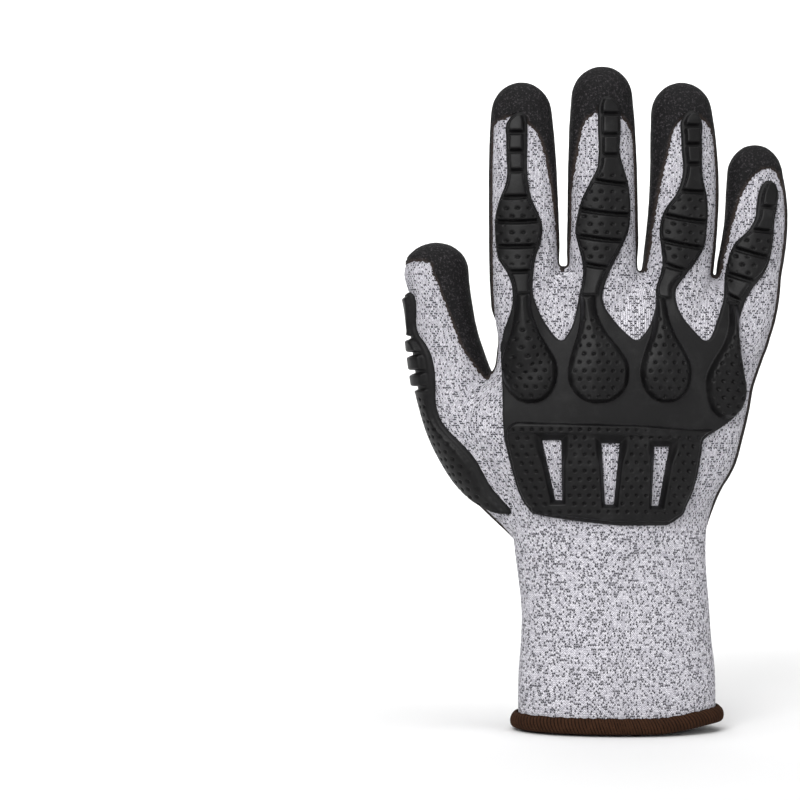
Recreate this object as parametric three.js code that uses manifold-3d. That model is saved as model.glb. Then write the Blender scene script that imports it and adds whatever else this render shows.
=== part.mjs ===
// A right-hand impact work glove, filled out as a hand fills it: a seamless knitted glove with a
// dipped grip coating on the palm and fingertips, a stitched cuff hem, a moulded rubber guard over
// the back of the hand and fingers, and a second guard along the thumb.
// Millimetres. +Z runs from the cuff's mouth to the fingertips, the back of the hand faces -Y and
// the thumb points to -X. The origin is the centre of the cuff's mouth.
import * as THREE from "three";
import Module from "manifold-3d";

const wasm = await Module();
wasm.setup();

// Heights above the cuff's mouth
const forkHeight = 175;
const knuckleReach = 50;

// The hand
const palmWidth = 104;
const palmDepth = 40;
const cuffWidth = 75.5;
const cuffDepth = 48;

// Walls and clearances
const knitWall = 1.5;
const coatThickness = 1;
const clearance = 0.34;

// The stitched hem round the cuff's mouth
const hemHeight = 6.4;
const hemBulge = 3.2;
const hemInside = 1.4;
const hemFloor = 2.4;
const hemSlack = 0.7;

// The back guard's own height and width beside the hand's, and its shift towards the thumb
const guardTall = 0.994;
const guardWide = 0.98;
const guardShift = -0.0158;
// On the fingers that difference fades, over this share of the fork's height
const fingersFrom = 0.95;
const fingersOver = 0.2;
const fingerEase = 0.6;
const guardStretch = 0.024;

// The guards: their flange, and how far what rises from it stands above the knit
const flangeHeight = 1.7;
const blockHeight = 4.4;
const podHeight = 6.2;
const podRimHeight = 4.4;
const frameHeight = 4;
const thumbBlockHeight = 3.4;
const raisedFrom = 1;
const raisedInset = 1.3;
const podInset = 2.6;
const grooveWidth = 1.3;
const guardDepth = -2;

// Places beyond the hand, for the outer ends of slabs and cutters
const farBack = -60;
const farLeft = -150;
const farOut = 300;

// How far the coating's edge lies behind a finger's axis, past the thumb's, and the thumb's side
// of the glove as a share of the palm's depth
const edgeBehind = 2.6;
const edgePast = 3;
const thumbForward = 0.21;

// Where the knit is parted: heights as shares of the fork's height, and the line between hand and
// thumb as a share of the palm's width
const knitParts = { cuff: 0.46, heel: 0.7, fingers: 1.02, thumb: 0.8, thumbSide: -0.471 };

// Points round a section
const bodyColumns = 22;
const fingerColumns = 10;
const bodyRows = 14;
const fingerRows = 5;
const thumbRows = 6;
const domeRows = 3;
const domeEnd = 0.5;
const insideShare = 0.75;

// Each finger: length above the fork, width and depth; where its axis lies across the palm at the
// knuckle, the fork and the tip, and how far it bows between (shares of the palm's width); and how
// far its axis lies towards the palm side at the knuckle, the fork and the tip.
const fingers = {
  index: {
    length: 72.4, width: 24.8, depth: 20, knuckle: -0.31, fork: -0.343, tip: -0.354, bow: 0,
    knuckleY: -2.6, forkY: -0.4, tipY: 3.4,
  },
  middle: {
    length: 78.6, width: 25, depth: 20.5, knuckle: -0.06, fork: -0.055, tip: -0.055, bow: 0,
    knuckleY: -4.4, forkY: -0.8, tipY: 3.8,
  },
  ring: {
    length: 72.4, width: 24.9, depth: 20, knuckle: 0.19, fork: 0.221, tip: 0.241, bow: 0.016,
    knuckleY: -3.4, forkY: -0.4, tipY: 4,
  },
  little: {
    length: 48.4, width: 22.6, depth: 18, knuckle: 0.35, fork: 0.486, tip: 0.514, bow: 0.014,
    knuckleY: -1.2, forkY: 0.6, tipY: 4.4,
  },
};
// A finger's width and depth, from inside the hand (below 0, shares of the knuckles' reach) over
// the fork (0) to the start of its round tip (1).
const fingerSections = [
  { along: -1, width: 0.66, depth: 0.9 },
  { along: -0.72, width: 0.74, depth: 1.2 },
  { along: -0.4, width: 0.93, depth: 1.24 },
  { along: 0, width: 1.01, depth: 1.09 },
  { along: 0.3, width: 1.0, depth: 1.0 },
  { along: 0.62, width: 0.97, depth: 0.97 },
  { along: 0.85, width: 0.92, depth: 0.93 },
  { along: 1, width: 0.86, depth: 0.87 },
];
const fingerDome = 11.4;
const fingerPower = 2.15;

// The thumb from inside the heel of the hand to the start of its round tip: its axis across the
// palm (share of the palm's width), towards the palm side (share of its depth) and its height
// (share of the fork's height), then its width and depth as shares of its own.
const thumbWidth = 24;
const thumbDepth = 22;
const thumbDome = 10.5;
const thumbSections = [
  { across: -0.19, forward: 0.1, height: 0.35, width: 1.05, depth: 1.2 },
  { across: -0.292, forward: 0.15, height: 0.462, width: 1.06, depth: 1.38 },
  { across: -0.422, forward: 0.2, height: 0.562, width: 1.24, depth: 1.4 },
  { across: -0.528, forward: 0.23, height: 0.657, width: 1.2, depth: 1.28 },
  { across: -0.585, forward: 0.23, height: 0.742, width: 1.12, depth: 1.16 },
  { across: -0.615, forward: 0.22, height: 0.806, width: 1.03, depth: 1.08 },
  { across: -0.637, forward: 0.21, height: 0.868, width: 0.95, depth: 1.0 },
  { across: -0.656, forward: 0.2, height: 0.944, width: 0.92, depth: 0.97 },
  { across: -0.674, forward: 0.19, height: 1.0, width: 1.0, depth: 0.98 },
];

// Sections of the cuff and wrist: height as a share of the fork's height, left and right as shares
// of the cuff's width, back and palm as shares of its depth.
const cuffSections = [
  { height: -0.05, left: -0.495, right: 0.49, back: 0.49, palm: 0.49, power: 2.1 },
  { height: 0.04, left: -0.505, right: 0.497, back: 0.5, palm: 0.5, power: 2.1 },
  { height: 0.12, left: -0.503, right: 0.493, back: 0.495, palm: 0.495, power: 2.1 },
  { height: 0.19, left: -0.491, right: 0.475, back: 0.47, palm: 0.47, power: 2.15 },
  { height: 0.26, left: -0.488, right: 0.465, back: 0.445, palm: 0.445, power: 2.2 },
  { height: 0.335, left: -0.507, right: 0.452, back: 0.41, palm: 0.43, power: 2.25 },
  { height: 0.385, left: -0.522, right: 0.447, back: 0.385, palm: 0.43, power: 2.3 },
];
// Sections of the hand: the same, as shares of the palm's width and depth. The row at 0.845 is
// the fold across the palm, between the pads below the fingers and the heel of the hand.
const handSections = [
  { height: 0.445, left: -0.392, right: 0.33, back: 0.45, palm: 0.53, power: 2.35 },
  { height: 0.51, left: -0.43, right: 0.362, back: 0.445, palm: 0.55, power: 2.4 },
  { height: 0.575, left: -0.5, right: 0.423, back: 0.445, palm: 0.56, power: 2.35 },
  { height: 0.64, left: -0.56, right: 0.454, back: 0.445, palm: 0.56, power: 2.3 },
  { height: 0.7, left: -0.56, right: 0.478, back: 0.44, palm: 0.54, power: 2.3 },
  { height: 0.745, left: -0.505, right: 0.49, back: 0.435, palm: 0.52, power: 2.4 },
  { height: 0.785, left: -0.452, right: 0.512, back: 0.425, palm: 0.495, power: 2.5 },
  { height: 0.82, left: -0.441, right: 0.532, back: 0.41, palm: 0.465, power: 2.5 },
  { height: 0.845, left: -0.438, right: 0.547, back: 0.395, palm: 0.42, power: 2.5 },
  { height: 0.875, left: -0.437, right: 0.555, back: 0.37, palm: 0.43, power: 2.5 },
  { height: 0.92, left: -0.446, right: 0.562, back: 0.31, palm: 0.36, power: 2.5 },
  { height: 0.96, left: -0.45, right: 0.57, back: 0.24, palm: 0.27, power: 2.4 },
  { height: 0.985, left: -0.43, right: 0.54, back: 0.15, palm: 0.18, power: 2.2 },
  { height: 1.0, left: -0.4, right: 0.49, back: 0.07, palm: 0.09, power: 2 },
];
// How much lower the fork is on the little finger's side, and where it starts to drop
const forkLean = 0.06;
const leanFrom = 0.8;

// A column of a table, read smoothly at any place between its rows.
function reading(rows, key, at) {
  const last = rows.length - 1;
  const place = Math.min(Math.max(at, 0), 1) * last;
  const from = Math.min(Math.floor(place), last - 1);
  const t = place - from;
  const value = (row) => rows[Math.min(Math.max(row, 0), last)][key];
  const before = value(from - 1);
  const start = value(from);
  const end = value(from + 1);
  const after = value(from + 2);
  const slopeStart = (end - before) / 2;
  const slopeEnd = (after - start) / 2;
  const a = 2 * (start - end) + slopeStart + slopeEnd;
  const b = 3 * (end - start) - 2 * slopeStart - slopeEnd;
  return ((a * t + b) * t + slopeStart) * t + start;
}

function sampled(rows, count) {
  const keys = Object.keys(rows[0]);
  return Array.from({ length: count + 1 }, (_, step) => {
    const at = step / count;
    return Object.fromEntries(keys.map((key) => [key, reading(rows, key, at)]));
  });
}

// The value at a height of a column of rows that lie at their own heights, straight between them.
function valueAt(rows, key, height) {
  const above = rows.findIndex((row) => row.z >= height);
  if (above <= 0) {
    return rows[above === 0 ? 0 : rows.length - 1][key];
  }
  const low = rows[above - 1];
  const high = rows[above];
  const t = (height - low.z) / (high.z - low.z);
  return low[key] + (high[key] - low[key]) * t;
}

function solid(positions, triangles) {
  const mesh = new wasm.Mesh({
    numProp: 3,
    vertProperties: new Float32Array(positions),
    triVerts: new Uint32Array(triangles),
  });
  mesh.merge();
  return new wasm.Manifold(mesh);
}

// Rings of points skinned into a closed solid, with a fan over each end, or with the last ring
// joined to the first.
function skin(rings, looped = false) {
  const columns = rings[0].length;
  const positions = rings.flat().flatMap((point) => point.toArray());
  const triangles = [];
  const bands = looped ? rings.length : rings.length - 1;
  for (let row = 0; row < bands; row += 1) {
    for (let column = 0; column < columns; column += 1) {
      const next = (column + 1) % columns;
      const upper = (row + 1) % rings.length;
      const a = row * columns + column;
      const b = row * columns + next;
      const c = upper * columns + next;
      const d = upper * columns + column;
      triangles.push(a, b, c, a, c, d);
    }
  }
  if (looped) {
    return solid(positions, triangles);
  }
  const ends = [rings[0], rings[rings.length - 1]];
  ends.forEach((ring, end) => {
    const centre = new THREE.Vector3();
    ring.forEach((point) => centre.add(point));
    centre.divideScalar(columns);
    const middle = positions.length / 3;
    positions.push(...centre.toArray());
    const first = end === 0 ? 0 : (rings.length - 1) * columns;
    for (let column = 0; column < columns; column += 1) {
      const next = (column + 1) % columns;
      const pair = [first + column, first + next];
      triangles.push(middle, ...(end === 0 ? pair.reverse() : pair));
    }
  });
  return solid(positions, triangles);
}

// The points round one section, an oval with its own reach to the left, right, back and palm.
function sectionRing(section, across, columns, grow) {
  return Array.from({ length: columns }, (_, column) => {
    const angle = (2 * Math.PI * column) / columns;
    const c = Math.cos(angle);
    const s = Math.sin(angle);
    const power = 2 / (section.power ?? fingerPower);
    const wide = (c < 0 ? section.left : section.right) + grow;
    const deep = (s < 0 ? section.back : section.palm) + grow;
    const point = new THREE.Vector3(section.x, section.y, section.z);
    point.addScaledVector(across, wide * Math.sign(c) * Math.abs(c) ** power);
    point.y += deep * Math.sign(s) * Math.abs(s) ** power;
    return point;
  });
}

// A tube through sections that lean with its axis, all of it grown outwards by the given amount.
function tube(sections, columns, grow) {
  return skin(sections.map((section, row) => {
    const below = sections[Math.max(row - 1, 0)];
    const above = sections[Math.min(row + 1, sections.length - 1)];
    const across = new THREE.Vector3(above.z - below.z, 0, below.x - above.x).normalize();
    if (section.level !== undefined) {
      across.set(1, 0, -section.level).normalize();
    }
    return sectionRing(section, across, columns, grow);
  }));
}

// The rings that round off a tube's end, for a tube that is grown by the given amount.
function withDome(sections, rise, rows, grow) {
  const last = sections[sections.length - 1];
  const before = sections[sections.length - 2];
  const slope = (last.x - before.x) / (last.z - before.z);
  const rings = Array.from({ length: rows }, (_, step) => {
    const angle = ((step + 1) / (rows + domeEnd)) * (Math.PI / 2);
    const share = Math.cos(angle);
    const up = (rise + grow) * Math.sin(angle);
    const reach = (side) => (last[side] + grow) * share - grow;
    return {
      ...last,
      x: last.x + slope * up,
      z: last.z + up,
      left: reach("left"),
      right: reach("right"),
      back: reach("back"),
      palm: reach("palm"),
    };
  });
  return [...sections, ...rings];
}

const cuffRows = cuffSections.map((row) => ({
  z: row.height * forkHeight,
  left: -row.left * cuffWidth,
  right: row.right * cuffWidth,
  back: row.back * cuffDepth,
  palm: row.palm * cuffDepth,
  power: row.power,
}));
const handRows = handSections.map((row) => ({
  z: row.height * forkHeight,
  left: -row.left * palmWidth,
  right: row.right * palmWidth,
  back: row.back * palmDepth,
  palm: row.palm * palmDepth,
  power: row.power,
}));

function bodySections(grow, rows) {
  return sampled([...cuffRows, ...handRows], rows).map((section) => {
    const share = section.z / forkHeight;
    const lean = forkLean * Math.max(0, (share - leanFrom) / (1 - leanFrom));
    const top = share > 0.995 ? grow : 0;
    return { ...section, x: 0, y: 0, z: section.z + top, level: lean };
  });
}

function body(grow, rows, columns) {
  return tube(bodySections(grow, rows), columns, grow);
}

function fingerPath(finger, along) {
  const down = Math.max(-along, 0);
  const up = Math.max(along, 0);
  const straight = finger.length - fingerDome;
  const bend = Math.sin(Math.PI * Math.min(up, 1));
  const across = finger.fork + (finger.knuckle - finger.fork) * down * down;
  return {
    x: palmWidth * (across + (finger.tip - finger.fork) * up + finger.bow * bend),
    y: finger.forkY + (finger.knuckleY - finger.forkY) * down + (finger.tipY - finger.forkY) * up * up,
    z: forkHeight + straight * up - knuckleReach * down,
  };
}

function fingerRowsOf(finger) {
  return sampled(fingerSections, fingerRows).map((section) => {
    const wide = (finger.width * section.width) / 2;
    const deep = (finger.depth * section.depth) / 2;
    return { ...fingerPath(finger, section.along), left: wide, right: wide, back: deep, palm: deep };
  });
}

function fingerTube(finger, grow, columns) {
  return tube(withDome(fingerRowsOf(finger), fingerDome, domeRows, grow), columns, grow);
}

function thumbTube(grow, columns) {
  const sections = sampled(thumbSections, thumbRows).map((section) => ({
    x: section.across * palmWidth,
    y: section.forward * palmDepth,
    z: section.height * forkHeight,
    left: (section.width * thumbWidth) / 2,
    right: (section.width * thumbWidth) / 2,
    back: (section.depth * thumbDepth) / 2,
    palm: (section.depth * thumbDepth) / 2,
  }));
  return tube(withDome(sections, thumbDome, domeRows, grow), columns, grow);
}

// The hand's form, grown by the given amount; share thins out its points for the inside.
function hand(grow, share = 1) {
  const some = (count) => Math.round((count * share) / 2) * 2;
  const parts = [
    body(grow, bodyRows, some(bodyColumns)),
    thumbTube(grow, some(fingerColumns)),
  ];
  for (const finger of Object.values(fingers)) {
    parts.push(fingerTube(finger, grow, some(fingerColumns)));
  }
  return wasm.Manifold.union(parts);
}

// Where shares of a height and a width lie on the hand, and where they lie on the back guard,
// which is drawn a little smaller and a little towards the thumb.
const handField = {
  up: (share) => share * forkHeight,
  across: (share) => share * palmWidth,
};
const guardField = {
  up: (share) => (share * guardTall + Math.max(0, share - 1) * guardStretch) * forkHeight,
  across: (share, height = 0) => {
    const onFinger = Math.min(Math.max((height - fingersFrom) / fingersOver, 0), 1) * fingerEase;
    const wide = guardWide + (1 - guardWide) * onFinger;
    return (share * wide + guardShift * (1 - onFinger)) * palmWidth;
  },
};

// A slab between a left and a right edge that change with height, from one depth to another.
function slab(rows, near, far) {
  const ordered = [...rows].sort((one, other) => one.z - other.z);
  const rings = ordered.map((row) => [
    new THREE.Vector3(row.left, row.near ?? near, row.z),
    new THREE.Vector3(row.right, row.near ?? near, row.z),
    new THREE.Vector3(row.right, row.far ?? far, row.z),
    new THREE.Vector3(row.left, row.far ?? far, row.z),
  ]);
  return skin(rings);
}

function block(left, right, near, far, low, high) {
  const rows = [
    { left, right, z: low },
    { left, right, z: high },
  ];
  return slab(rows, near, far);
}

// Rows of a table of outlines turned into millimetres and drawn in by an inset.
function outline(table, inset = 0, field = handField) {
  const rows = table.map((row) => ({
    z: field.up(row.height),
    left: field.across(row.left, row.height) + inset,
    right: field.across(row.right, row.height) - inset,
  }));
  rows.sort((one, other) => one.z - other.z);
  rows[0].z += inset;
  rows[rows.length - 1].z -= inset;
  return rows.filter((row, place) => place === 0 || row.z > rows[0].z + 0.2)
    .filter((row, place, all) => place === all.length - 1 || row.z < all[all.length - 1].z - 0.2);
}

const skinOfHand = hand(clearance);
const onHand = (height) => hand(clearance + height).subtract(skinOfHand);

// The knitted glove, parted into cuff, heel, palm, fingers and thumb
const between = (low, high, left, right) => block(left, right, -farOut, farOut, low, high);
const knitted = hand(0).subtract(hand(-knitWall, insideShare));
const knitLow = hemFloor + clearance;
const cuffTop = knitParts.cuff * forkHeight;
const heelTop = knitParts.heel * forkHeight;
const fingersLow = knitParts.fingers * forkHeight;
const thumbLow = knitParts.thumb * forkHeight;
const thumbSide = knitParts.thumbSide * palmWidth;
const knitCuff = knitted.intersect(between(knitLow, cuffTop, -farOut, farOut));
const knitHeel = knitted.intersect(between(cuffTop + clearance, heelTop, -farOut, farOut));
const knitPalm = knitted
  .intersect(between(heelTop + clearance, fingersLow, -farOut, farOut))
  .subtract(between(thumbLow, farOut, -farOut, thumbSide));
const knitThumb = knitted.intersect(between(thumbLow + clearance, farOut, -farOut, thumbSide));
const leftOf = (part) => part.boundingBox().min[0];
const knitFingers = knitted
  .intersect(between(fingersLow + clearance, farOut, thumbSide, farOut))
  .decompose()
  .sort((one, other) => leftOf(one) - leftOf(other));

// The hem folds round the knit's edge, inside and outside.
const hemProfile = [
  { reach: 0.35, side: 1, height: 0 },
  { reach: 0.95, side: 1, height: 0.2 },
  { reach: 1, side: 1, height: 0.6 },
  { reach: 0.6, side: 1, height: 0.92 },
  { reach: 0, side: 1, height: 1 },
  { reach: 0, side: 1, floor: 1 },
  { reach: 0, side: -1, floor: 1 },
  { reach: 0, side: -1, height: 1 },
  { reach: 1, side: -1, height: 0.85 },
  { reach: 1, side: -1, height: 0.15 },
  { reach: 0.2, side: -1, height: 0 },
];
const mouthSections = bodySections(0, bodyRows);
function hemRing(row) {
  const z = row.floor ? hemFloor : row.height * hemHeight;
  const outside = row.side > 0;
  const bare = clearance + (outside ? 0 : knitWall + hemSlack);
  const full = outside ? hemBulge : knitWall + hemSlack + hemInside;
  const reach = row.side * (bare + (full - bare) * row.reach);
  const section = { x: 0, y: 0, z };
  for (const key of ["left", "right", "back", "palm", "power"]) {
    section[key] = valueAt(mouthSections, key, z);
  }
  return sectionRing(section, new THREE.Vector3(1, 0, 0), bodyColumns, reach);
}
const cuffHem = skin(hemProfile.map(hemRing), true);

// The knit's bare window on the back of each finger: the coating stays off it. Heights are shares
// of the fork's height, edges shares of the palm's width.
const windows = {
  index: [
    { height: 0.98, left: -0.56, right: -0.21 },
    { height: 1.182, left: -0.53, right: -0.25 },
    { height: 1.267, left: -0.51, right: -0.279 },
    { height: 1.297, left: -0.49, right: -0.298 },
    { height: 1.33, left: -0.438, right: -0.35 },
    { height: 1.338, left: -0.405, right: -0.3756 },
  ],
  middle: [
    { height: 0.98, left: -0.2, right: 0.085 },
    { height: 1.182, left: -0.168, right: 0.083 },
    { height: 1.247, left: -0.1535, right: 0.0685 },
    { height: 1.3166, left: -0.1277, right: 0.0389 },
    { height: 1.338, left: -0.1055, right: 0.009 },
    { height: 1.353, left: -0.0796, right: -0.0167 },
  ],
  ring: [
    { height: 0.98, left: 0.1, right: 0.37 },
    { height: 1.145, left: 0.1425, right: 0.398 },
    { height: 1.258, left: 0.183, right: 0.361 },
    { height: 1.332, left: 0.235, right: 0.3127 },
    { height: 1.34, left: 0.257, right: 0.29 },
  ],
  little: [
    { height: 0.96, left: 0.37, right: 0.7 },
    { height: 1.054, left: 0.4015, right: 0.7 },
    { height: 1.1366, left: 0.438, right: 0.64 },
    { height: 1.2125, left: 0.509, right: 0.59 },
    { height: 1.2255, left: 0.531, right: 0.568 },
  ],
};
const thumbWindow = [
  { height: 0.74, left: -1, right: -0.47 },
  { height: 0.772, left: -1, right: -0.505 },
  { height: 0.8286, left: -1, right: -0.5717 },
  { height: 0.9826, left: -1, right: -0.6716 },
  { height: 1.0064, left: -0.797, right: -0.69 },
  { height: 1.0238, left: -0.764, right: -0.716 },
];
const handWindow = [
  { height: -0.1, left: -0.7, right: 0.7 },
  { height: 0.42, left: -0.7, right: 0.7 },
  { height: 0.76, left: -0.5, right: 0.8 },
  { height: 0.98, left: -0.6, right: 0.8 },
];
const heelWindow = [
  { height: -0.1, left: -1, right: -0.35 },
  { height: 0.42, left: -1, right: -0.35 },
  { height: 0.76, left: -1, right: -0.46 },
];
// Where the coating ends on the heel of the hand
const coatEdge = [
  { height: 0.33, left: -0.135, right: 0 },
  { height: 0.339, left: -0.2, right: 0.082 },
  { height: 0.36, left: -0.29, right: 0.173 },
  { height: 0.4, left: -0.346, right: 0.266 },
  { height: 0.44, left: -0.43, right: 0.3125 },
  { height: 0.482, left: -0.58, right: 0.348 },
  { height: 0.518, left: -0.87, right: 0.43 },
  { height: 0.56, left: -0.9, right: 0.7 },
  { height: 1.6, left: -1.1, right: 1.1 },
];

function windowOf(table, farAt) {
  const rows = outline(table).map((row) => ({ ...row, far: farAt(row.z) }));
  return slab(rows, farBack, 0);
}
const bare = Object.entries(windows).map(([name, table]) => {
  const finger = fingers[name];
  const straight = finger.length - fingerDome;
  return windowOf(table, (z) => {
    const up = Math.max(0, (z - forkHeight) / straight);
    return fingerPath(finger, up).y - edgeBehind;
  });
});
bare.push(windowOf(handWindow, () => -edgeBehind));
bare.push(windowOf(thumbWindow, () => thumbForward * palmDepth + edgePast));
bare.push(windowOf(heelWindow, () => thumbForward * palmDepth));
const coated = onHand(coatThickness).intersect(slab(outline(coatEdge), farBack, -farBack));

// The back guard's outline over each finger, from the fingertip down into the plate
const strips = {
  index: [
    { height: 1.344, left: -0.3756, right: -0.342 },
    { height: 1.332, left: -0.4, right: -0.335 },
    { height: 1.19, left: -0.4144, right: -0.329 },
    { height: 1.157, left: -0.4348, right: -0.3164 },
    { height: 1.103, left: -0.4496, right: -0.279 },
    { height: 1.032, left: -0.4348, right: -0.3016 },
    { height: 0.997, left: -0.4015, right: -0.309 },
    { height: 0.915, left: -0.39, right: -0.298 },
    { height: 0.867, left: -0.416, right: -0.2535 },
    { height: 0.84, left: -0.422, right: -0.194 },
  ],
  middle: [
    { height: 1.378, left: -0.057, right: -0.02 },
    { height: 1.367, left: -0.0685, right: 0.002 },
    { height: 1.248, left: -0.072, right: 0.0107 },
    { height: 1.196, left: -0.102, right: 0.035 },
    { height: 1.159, left: -0.131, right: 0.0426 },
    { height: 1.09, left: -0.15, right: 0.039 },
    { height: 1.032, left: -0.1277, right: -0.002 },
    { height: 1.006, left: -0.122, right: -0.024 },
    { height: 0.934, left: -0.1443, right: -0.057 },
    { height: 0.878, left: -0.1795, right: -0.0055 },
    { height: 0.84, left: -0.213, right: 0.039 },
  ],
  ring: [
    { height: 1.3476, left: 0.261, right: 0.294 },
    { height: 1.3346, left: 0.242, right: 0.309 },
    { height: 1.2005, left: 0.235, right: 0.316 },
    { height: 1.144, left: 0.183, right: 0.331 },
    { height: 1.0988, left: 0.161, right: 0.331 },
    { height: 1.0188, left: 0.172, right: 0.287 },
    { height: 0.995, left: 0.1647, right: 0.257 },
    { height: 0.934, left: 0.131, right: 0.2017 },
    { height: 0.876, left: 0.0907, right: 0.25 },
    { height: 0.84, left: 0.061, right: 0.294 },
  ],
  little: [
    { height: 1.196, left: 0.5457, right: 0.579 },
    { height: 1.179, left: 0.527, right: 0.5957 },
    { height: 1.092, left: 0.4866, right: 0.583 },
    { height: 1.0707, left: 0.451, right: 0.581 },
    { height: 1.023, left: 0.42, right: 0.568 },
    { height: 0.971, left: 0.409, right: 0.516 },
    { height: 0.917, left: 0.39, right: 0.472 },
    { height: 0.8587, left: 0.35, right: 0.453 },
    { height: 0.83, left: 0.32, right: 0.453 },
  ],
};
// The plate over the back of the hand, from below the knuckles' necks to the wrist
const plate = [
  { height: 0.8587, left: -0.416, right: 0.453 },
  { height: 0.7895, left: -0.422, right: 0.472 },
  { height: 0.7138, left: -0.422, right: 0.464 },
  { height: 0.664, left: -0.42, right: 0.394 },
  { height: 0.638, left: -0.416, right: 0.3275 },
  { height: 0.61, left: -0.405, right: 0.316 },
  { height: 0.489, left: -0.3275, right: 0.257 },
  { height: 0.4737, left: -0.294, right: 0.246 },
  { height: 0.456, left: -0.094, right: 0.205 },
  { height: 0.45, left: 0.009, right: 0.183 },
];
// The raised frame on the plate's lower half: its top edge, then it follows the plate
const frameTop = [
  { height: 0.6727, left: -0.405, right: 0.083 },
  { height: 0.6597, left: -0.405, right: 0.2757 },
];
const frameFrom = 0.645;
// The three slots cut through the frame
const slots = [
  { top: 0.6355, bottom: 0.5055, left: -0.2775, right: -0.207, leftLow: -0.2275, rightLow: -0.2028 },
  { top: 0.629, bottom: 0.4965, left: -0.0574, right: 0.0093, leftLow: -0.0444, rightLow: -0.013 },
  { top: 0.6215, bottom: 0.4935, left: 0.1376, right: 0.1943, leftLow: 0.1277, rightLow: 0.1536 },
];
// The knuckle pods: the neck's centre, the pod's centre, half its width, its top and its bottom
const pods = [
  { neck: -0.346, centre: -0.316, half: 0.0963, top: 0.945, bottom: 0.716 },
  { neck: -0.102, centre: -0.0685, half: 0.111, top: 0.94, bottom: 0.716 },
  { neck: 0.165, centre: 0.179, half: 0.0925, top: 0.935, bottom: 0.718 },
  { neck: 0.442, centre: 0.401, half: 0.074, top: 0.925, bottom: 0.6835 },
];
const podShape = [
  { along: 0, width: 0.26, shift: 0 },
  { along: 0.24, width: 0.34, shift: 0.12 },
  { along: 0.48, width: 0.72, shift: 0.7 },
  { along: 0.64, width: 0.97, shift: 1 },
  { along: 0.82, width: 0.97, shift: 1 },
  { along: 0.94, width: 0.66, shift: 1 },
  { along: 1, width: 0.24, shift: 1 },
];
// Heights of the grooves across each finger's raised blocks
const grooves = {
  index: [1.299, 1.259, 1.2165, 1.161, 1.108, 1.055, 1.001],
  middle: [1.338, 1.294, 1.25, 1.191, 1.13, 1.073, 1.012],
  ring: [1.312, 1.273, 1.231, 1.172, 1.117, 1.062, 1.008],
  little: [1.139, 1.089, 1.043, 0.992, 0.946],
};

function prismOf(table, inset, height) {
  return slab(outline(table, inset, guardField), farBack, guardDepth).intersect(onHand(height));
}

// How far the back of the hand lies in front of the middle plane at a place seen from the back.
const backRows = [bodySections(0, bodyRows)];
for (const finger of Object.values(fingers)) {
  backRows.push(withDome(fingerRowsOf(finger), fingerDome, domeRows, 0));
}
function backAt(x, z) {
  let front = 0;
  for (const rows of backRows) {
    if (z < rows[0].z || z > rows[rows.length - 1].z) {
      continue;
    }
    const offset = x - valueAt(rows, "x", z);
    const share = Math.abs(offset) / valueAt(rows, offset < 0 ? "left" : "right", z);
    const power = rows[0].power === undefined ? fingerPower : valueAt(rows, "power", z);
    if (share < 1) {
      const depth = valueAt(rows, "back", z) * (1 - share ** power) ** (1 / power);
      front = Math.min(front, valueAt(rows, "y", z) - depth);
    }
  }
  return front;
}

// A raised form on the back of the hand: its outline, drawn in and lifted step by step.
function raised(rows, steps) {
  const middle = new THREE.Vector3();
  const edge = [
    ...rows.map((row) => new THREE.Vector3(row.right, 0, row.z)),
    ...[...rows].reverse().map((row) => new THREE.Vector3(row.left, 0, row.z)),
  ];
  edge.forEach((point) => middle.addScaledVector(point, 1 / edge.length));
  return skin(steps.map((step) => edge.map((point) => {
    const centre = new THREE.Vector3(middle.x, 0, middle.z);
    const away = point.clone().sub(centre);
    const length = away.length();
    const drawn = Math.max(length - step.inset, length * 0.12);
    const at = centre.addScaledVector(away.normalize(), step.share ? length * step.share : drawn);
    at.y = backAt(at.x, at.z) - step.height;
    return at;
  })));
}

function blocksOf(name) {
  const table = outline(strips[name], raisedInset, guardField);
  const pod = pods[Object.keys(strips).indexOf(name)];
  const top = table[table.length - 1].z;
  const edges = [top, ...grooves[name].map(guardField.up), guardField.up(pod.top)];
  return edges.slice(1).map((edge, place) => {
    const high = edges[place] - (place === 0 ? 0 : grooveWidth / 2);
    const low = edge + grooveWidth / 2;
    const rows = [low, (low + high) / 2, high].map((z) => ({
      z,
      left: valueAt(table, "left", z),
      right: valueAt(table, "right", z),
    }));
    return raised(rows, [
      { inset: -0.3, height: raisedFrom },
      { inset: 0.5, height: blockHeight },
    ]);
  });
}

function podOf(pod) {
  const high = guardField.up(pod.top);
  const low = guardField.up(pod.bottom);
  const rows = podShape.map((row) => {
    const centre = guardField.across(pod.neck + (pod.centre - pod.neck) * row.shift);
    const half = pod.half * row.width * guardWide * palmWidth;
    return { z: high + (low - high) * row.along, left: centre - half, right: centre + half };
  });
  return raised(rows.reverse(), [
    { inset: -0.3, height: raisedFrom },
    { inset: 0.3, height: podRimHeight },
    { inset: podInset / 2, height: (podRimHeight + podHeight) / 2 },
    { inset: podInset, height: podHeight },
    { share: 0.3, height: podHeight },
  ]);
}

const frame = [...frameTop, ...plate.filter((row) => row.height < frameFrom)];
const slotCutters = slots.map((slot) => slab(outline([
  { height: slot.bottom, left: slot.leftLow, right: slot.rightLow },
  { height: slot.top, left: slot.left, right: slot.right },
], 0, guardField), farBack, guardDepth));
const guardParts = [prismOf(plate, 0, flangeHeight), prismOf(frame, raisedInset, frameHeight)];
for (const name of Object.keys(strips)) {
  guardParts.push(prismOf(strips[name], 0, flangeHeight), ...blocksOf(name));
}
guardParts.push(...pods.map(podOf));
const backGuard = wasm.Manifold.union(guardParts)
  .subtract(wasm.Manifold.union(slotCutters))
  .subtract(skinOfHand);

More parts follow.
